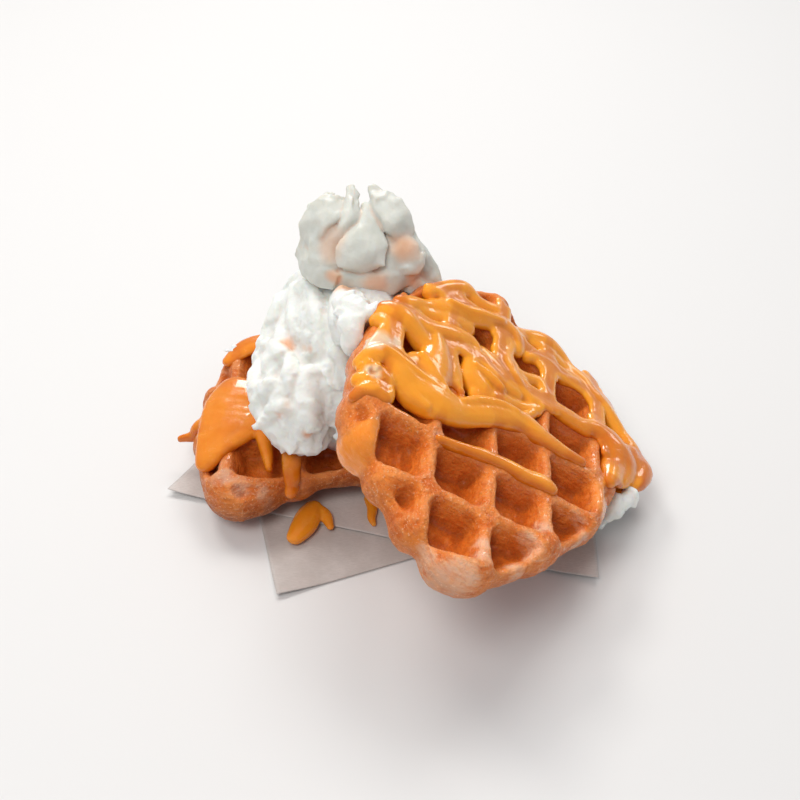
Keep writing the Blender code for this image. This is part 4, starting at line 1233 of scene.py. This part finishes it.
def mottle_group():
    """A node group: an uneven mask and a finer height from a coordinate."""
    group = bpy.data.node_groups.new("mottle", "ShaderNodeTree")
    group.interface.new_socket(name="Vector", in_out="INPUT", socket_type="NodeSocketVector")
    for name, value in (("Scale", 100.0), ("Low", 0.4), ("High", 0.6)):
        socket = group.interface.new_socket(
            name=name, in_out="INPUT", socket_type="NodeSocketFloat")
        socket.default_value = value
    for name in ("Mask", "Height"):
        group.interface.new_socket(name=name, in_out="OUTPUT", socket_type="NodeSocketFloat")
    start = group.nodes.new("NodeGroupInput")
    end = group.nodes.new("NodeGroupOutput")
    cloud = attach(group, "ShaderNodeTexNoise", {
        "Vector": start.outputs["Vector"], "Scale": start.outputs["Scale"],
        "Detail": 5.0, "Roughness": 0.6})
    mask = attach(group, "ShaderNodeMapRange", {
        "Value": cloud.outputs["Fac"], "From Min": start.outputs["Low"],
        "From Max": start.outputs["High"]}, interpolation_type="SMOOTHSTEP")
    group.links.new(mask.outputs["Result"], end.inputs["Mask"])
    group.links.new(cloud.outputs["Fac"], end.inputs["Height"])
    return group


MOTTLE = mottle_group()


def mottle(tree, vector, scale, low=0.4, high=0.6):
    """Place the mottle group in a finish."""
    node = attach(tree, "ShaderNodeGroup", {
        "Vector": vector, "Scale": scale, "Low": low, "High": high}, node_tree=MOTTLE)
    return node.outputs["Mask"], node.outputs["Height"]


def new_finish(name, **constants):
    """A new material and its shader, with its constant values set."""
    finish = bpy.data.materials.new(name)
    finish.use_nodes = True
    shader = finish.node_tree.nodes["Principled BSDF"]
    for key, value in constants.items():
        shader.inputs[key.replace("_", " ")].default_value = value
    return finish, finish.node_tree, shader


def blend_colours(tree, share, first, second):
    """Two colours mixed by a share."""
    node = attach(tree, "ShaderNodeMix", data_type="RGBA")
    for index, value in ((0, share), (6, first), (7, second)):
        if isinstance(value, bpy.types.NodeSocket):
            tree.links.new(value, node.inputs[index])
        else:
            node.inputs[index].default_value = value
    return node.outputs[2]


def calculate(tree, operation, a, b, clamp=False):
    """One step of arithmetic."""
    node = attach(tree, "ShaderNodeMath", {0: a, 1: b}, operation=operation, use_clamp=clamp)
    return node.outputs[0]


def note(tree, name, vector=False):
    """A value that the piece keeps for every point."""
    node = attach(tree, "ShaderNodeAttribute", attribute_name=name)
    return node.outputs["Vector" if vector else "Fac"]


def carry(tree, value, low, high, first, last, kind="LINEAR"):
    """A value between low and high, carried over to between first and last."""
    node = attach(tree, "ShaderNodeMapRange", {
        "Value": value, "From Min": low, "From Max": high, "To Min": first, "To Max": last},
        interpolation_type=kind)
    return node.outputs["Result"]


def stretched(tree, vector, scale, turn=0.0):
    """A coordinate that is squeezed along an axis, so that a pattern gets a direction."""
    node = attach(tree, "ShaderNodeMapping", {
        "Vector": vector, "Scale": scale, "Rotation": (0.0, 0.0, turn)})
    return node.outputs["Vector"]


def paint(tree, shader, colour, layers):
    """Lay tints over a colour, each by its own share."""
    for share, warm_shade in layers:
        colour = blend_colours(tree, share, colour, warm_shade)
    tree.links.new(colour, shader.inputs["Base Color"])


def emboss(tree, shader, height, strength, distance):
    """Relief that is too fine for the skin."""
    bump = attach(tree, "ShaderNodeBump", {
        "Height": height, "Strength": strength, "Distance": distance})
    tree.links.new(bump.outputs["Normal"], shader.inputs["Normal"])


print("group", MOTTLE.name, "with", len(MOTTLE.nodes), "nodes")

# %% [markdown]
# The crust is light and shiny on the ridges, brown in the pockets and pale where the iron
# did not reach.  Sugar and butter make it glossy in broken streaks.  Its crests and flecks
# are lightened as painted light, and its creases and lower sides darkened as painted shade.

# %% Crust
RIDGE = (0.74, 0.150, 0.016, 1), (0.88, 0.250, 0.036, 1)
POCKET = (0.46, 0.076, 0.005, 1), (0.70, 0.145, 0.013, 1)
TOASTED = (0.44, 0.080, 0.010, 1)
SUGARED = (0.94, 0.40, 0.13, 1)
UNBAKED = (0.90, 0.58, 0.40, 1)
BROWNED_AND_SHADED = (0.32, 0.070, 0.010, 1)
# Painted shade, laid in the creases of the skin.
CREASE_SHADE = (0.36, 0.070, 0.010, 1)
# Painted light, laid on the crests of the skin.
CREST_LIGHT = (0.92, 0.37, 0.12, 1)
FLAKE_AND_GLINT = (0.97, 0.58, 0.34, 1)
SOAKED = (0.74, 0.20, 0.03, 1)
GLAZED = (0.86, 0.26, 0.012, 1)


def crust_finish():
    """Baked dough."""
    finish, tree, shader = new_finish(
        "crust", Subsurface_Weight=0.15, Subsurface_Scale=0.002,
        Subsurface_Radius=(1.0, 0.35, 0.12), Coat_Roughness=0.12, Specular_IOR_Level=0.3)
    flat = note(tree, "flat", vector=True)
    deep, hollow, wet, glaze = (note(tree, name) for name in ("deep", "hollow", "wet", "glaze"))
    broad, broad_height = mottle(tree, flat, 130.0, 0.35, 0.65)
    fine, fine_height = mottle(tree, flat, 900.0, 0.46, 0.72)
    streak, streak_height = mottle(
        tree, stretched(tree, flat, (1.0, 1.0, 4.0)), 300.0, 0.5, 0.66)
    # Pale flakes on the ridges, whose colour also carries painted glints.
    fleck_and_glint, fleck_height = mottle(tree, flat, 1400.0, 0.585, 0.655)

    def on_ridges(mask, least):
        """A mask that fades as the pockets get deeper."""
        return calculate(tree, "MULTIPLY", mask, calculate(tree, "SUBTRACT", least, deep, True))

    pale = calculate(tree, "ADD", note(tree, "pale"),
                     calculate(tree, "MULTIPLY", broad_height, 1.3))
    pale = calculate(tree, "ADD", pale, streak_height)
    baked = blend_colours(tree, deep, blend_colours(tree, broad, *RIDGE),
                          blend_colours(tree, broad, *POCKET))
    paint(tree, shader, baked, [
        (calculate(tree, "MULTIPLY", fine, 0.40), TOASTED),
        (on_ridges(streak, 0.35), SUGARED),
        (carry(tree, pale, 1.35, 2.25, 0.0, 0.80, "SMOOTHSTEP"), UNBAKED),
        # Browning, plus painted shade low on the sides and underside of the dough.
        (note(tree, "brown"), BROWNED_AND_SHADED),
        # Painted shade: the creases are darkened.
        (carry(tree, hollow, 0.55, 1.0, 0.0, 0.55), CREASE_SHADE),
        # Painted light: the crests are lightened.
        (carry(tree, hollow, 0.45, 0.0, 0.0, 0.4), CREST_LIGHT),
        # Pale flakes, lightened further as painted glints.
        (on_ridges(fleck_and_glint, 0.55), FLAKE_AND_GLINT),
        (calculate(tree, "MULTIPLY", wet, 0.45), SOAKED),
        (calculate(tree, "MULTIPLY", glaze, 0.75), GLAZED),
    ])
    rough = calculate(tree, "SUBTRACT", carry(tree, streak_height, 0.3, 0.7, 0.32, 0.62),
                      calculate(tree, "MULTIPLY", glaze, 0.2))
    tree.links.new(rough, shader.inputs["Roughness"])
    coat = calculate(tree, "ADD", calculate(tree, "MULTIPLY", wet, 0.5),
                     calculate(tree, "MULTIPLY", streak, 0.8), True)
    coat = calculate(tree, "ADD", coat, glaze, True)
    tree.links.new(coat, shader.inputs["Coat Weight"])
    height = streak_height
    for finer, share in ((fine_height, 0.9), (fleck_height, 0.5)):
        height = calculate(tree, "ADD", height, calculate(tree, "MULTIPLY", finer, share))
    dry = calculate(tree, "SUBTRACT", 1.0, glaze, True)
    emboss(tree, shader, calculate(tree, "MULTIPLY", height, dry), 0.8, 1.0 * MM)
    return finish


crust = crust_finish()
print("crust with", len(crust.node_tree.nodes), "nodes")

# %% [markdown]
# Caramel is smooth, clear-skinned and thick: light goes in and comes out deeper orange.

# %% Caramel
# Low thin sauce and high thick sauce: partly its own colour, partly painted shade and painted
# light.
LOW_THIN_SAUCE_SHADED, HIGH_THICK_SAUCE_LIT = (0.62, 0.140, 0.003, 1), (0.90, 0.33, 0.016, 1)
SAUCE_HAZE = (0.92, 0.39, 0.055, 1)
SAUCE_WITH_CREAM = (0.80, 0.66, 0.48, 1)
# Painted shade for the creases between the strings.
SAUCE_CREASE_SHADE = (0.54, 0.14, 0.002, 1)


def caramel_finish():
    """Thick caramel sauce."""
    finish, tree, shader = new_finish(
        "caramel", Subsurface_Weight=0.35, Subsurface_Scale=0.003,
        Subsurface_Radius=(1.0, 0.45, 0.1), Coat_Weight=0.6, Coat_Roughness=0.07,
        Specular_IOR_Level=0.3)
    flat = note(tree, "flat", vector=True)
    broad, broad_height = mottle(tree, flat, 160.0, 0.35, 0.65)
    fine_height = mottle(tree, flat, 900.0)[1]
    # Lighter where the sauce stands high, deeper where it lies low and thin over the dough: partly
    # the sauce's own colour, partly painted light on its tops and painted shade low at its edges.
    paint(tree, shader, blend_colours(tree, note(tree, "high"), LOW_THIN_SAUCE_SHADED, HIGH_THICK_SAUCE_LIT), [
        (calculate(tree, "MULTIPLY", broad, 0.20), SAUCE_HAZE),
        (calculate(tree, "MULTIPLY", note(tree, "milky"), 0.75), SAUCE_WITH_CREAM),
        # Painted shade: the creases between strings are darkened.
        (carry(tree, note(tree, "hollow"), 0.5, 1.0, 0.0, 0.8), SAUCE_CREASE_SHADE),
    ])
    tree.links.new(carry(tree, broad_height, 0.3, 0.7, 0.16, 0.30), shader.inputs["Roughness"])
    emboss(tree, shader, fine_height, 0.25, 0.3 * MM)
    return finish


caramel = caramel_finish()
print("caramel with", len(caramel.node_tree.nodes), "nodes")

# %% [markdown]
# Whipped cream is white and lets light through, with a soft sheen of fat on its folds.

# %% Cream
# Warm painted shade for the creases of the cream.
CREAM_CREASE_SHADE = (0.80, 0.56, 0.42, 1)
CARAMEL_STAIN_AND_SHADE = (0.82, 0.36, 0.14, 1)
TORN_CREAM = (0.77, 0.785, 0.745, 1), (0.87, 0.885, 0.845, 1)
# The swirl's cream is the same cream painted darker, as painted shade on its front.
SHADED_SMOOTH_CREAM = (0.57, 0.575, 0.52, 1), (0.665, 0.67, 0.615, 1)


def cream_finish(name, low, high, crease_shade_share, bump_distance):
    """Whipped cream."""
    finish, tree, shader = new_finish(
        name, Subsurface_Weight=0.5, Subsurface_Scale=0.004,
        Subsurface_Radius=(1.0, 0.75, 0.55), Specular_IOR_Level=0.45, Coat_Weight=0.15,
        Coat_Roughness=0.3)
    place = attach(tree, "ShaderNodeTexCoord").outputs["Object"]
    broad = mottle(tree, place, 90.0, 0.35, 0.65)[0]
    fine_height = mottle(tree, place, 1000.0)[1]
    paint(tree, shader, blend_colours(tree, broad, low, high), [
        # Painted shade: the creases are darkened with a warm tint.
        (carry(tree, note(tree, "hollow"), 0.55, 1.0, 0.0, crease_shade_share), CREAM_CREASE_SHADE),
        # Caramel stains, plus warm painted shade on the swirl and on some lobes of the heap.
        (calculate(tree, "MULTIPLY", note(tree, "stain"), 0.7), CARAMEL_STAIN_AND_SHADE),
    ])
    tree.links.new(carry(tree, fine_height, 0.3, 0.7, 0.38, 0.58), shader.inputs["Roughness"])
    emboss(tree, shader, fine_height, 0.6, bump_distance)
    return finish


torn_cream = cream_finish("cream_torn", *TORN_CREAM, 0.22, 0.4 * MM)
# A darker copy of the cream, as painted shade.
shaded_smooth_cream = cream_finish("cream_smooth_shaded", *SHADED_SMOOTH_CREAM, 0.7, 0.2 * MM)
print("cream with", len(torn_cream.node_tree.nodes), "nodes")

# %% [markdown]
# Baking paper is greyish, matt and faintly fibrous.

# %% Paper
THREAD = (0.42, 0.37, 0.34, 1)
THREAD_TURN = 0.5
LOW_SHEET = (0.50, 0.45, 0.42, 1), (0.58, 0.53, 0.50, 1)
HIGH_SHEET = (0.56, 0.51, 0.48, 1), (0.64, 0.59, 0.56, 1)


def paper_finish(name, low, high):
    """Greyish baking paper."""
    finish, tree, shader = new_finish(name, Specular_IOR_Level=0.3)
    place = attach(tree, "ShaderNodeTexCoord").outputs["Object"]
    threads, thread_height = mottle(
        tree, stretched(tree, place, (1.0, 5.0, 1.0), THREAD_TURN), 700.0, 0.4, 0.62)
    broad = mottle(tree, place, 60.0, 0.35, 0.65)[0]
    paint(tree, shader, blend_colours(tree, broad, low, high), [
        (calculate(tree, "MULTIPLY", threads, 0.3), THREAD),
    ])
    tree.links.new(carry(tree, thread_height, 0.0, 1.0, 0.6, 0.85), shader.inputs["Roughness"])
    emboss(tree, shader, thread_height, 0.3, 0.2 * MM)
    return finish


paper_low = paper_finish("paper_low", *LOW_SHEET)
paper_high = paper_finish("paper_high", *HIGH_SHEET)
print("paper with", len(paper_low.node_tree.nodes), "nodes")

# %% [markdown]
# ## Joining the frame
# Every piece rides on the one body and stands for its solid.  Its row also names a slot, which
# nothing here uses.

# %% Finishes on the pieces, and their solids
PIECES = [
    (dough_left, crust, "dough", ["croffle_left"]),
    (dough_right, crust, "dough", ["croffle_right"]),
    (sauce_left, caramel, "sauce", ["croffle_left"]),
    (sauce_right, caramel, "sauce", ["croffle_right"]),
    (heap, torn_cream, "cream", ["cream_mound"]),
    (rosette, shaded_smooth_cream, "cream", ["cream_rosette"]),
    (under, torn_cream, "cream", ["cream_filling"]),
    (sheet_under, paper_low, "paper", ["paper_under"]),
    (sheet_over, paper_high, "paper", ["paper_over"]),
    (drip, caramel, "sauce", ["paper_over"]),
]
for item, finish, slot, nodes in PIECES:
    item.data.materials.clear()
    item.data.materials.append(finish)
    item.data.shade_smooth()
    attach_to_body(item, "root")
    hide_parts(*nodes)
    triangles = sum(len(face.vertices) - 2 for face in item.data.polygons)
    print(item.name, triangles, "triangles")
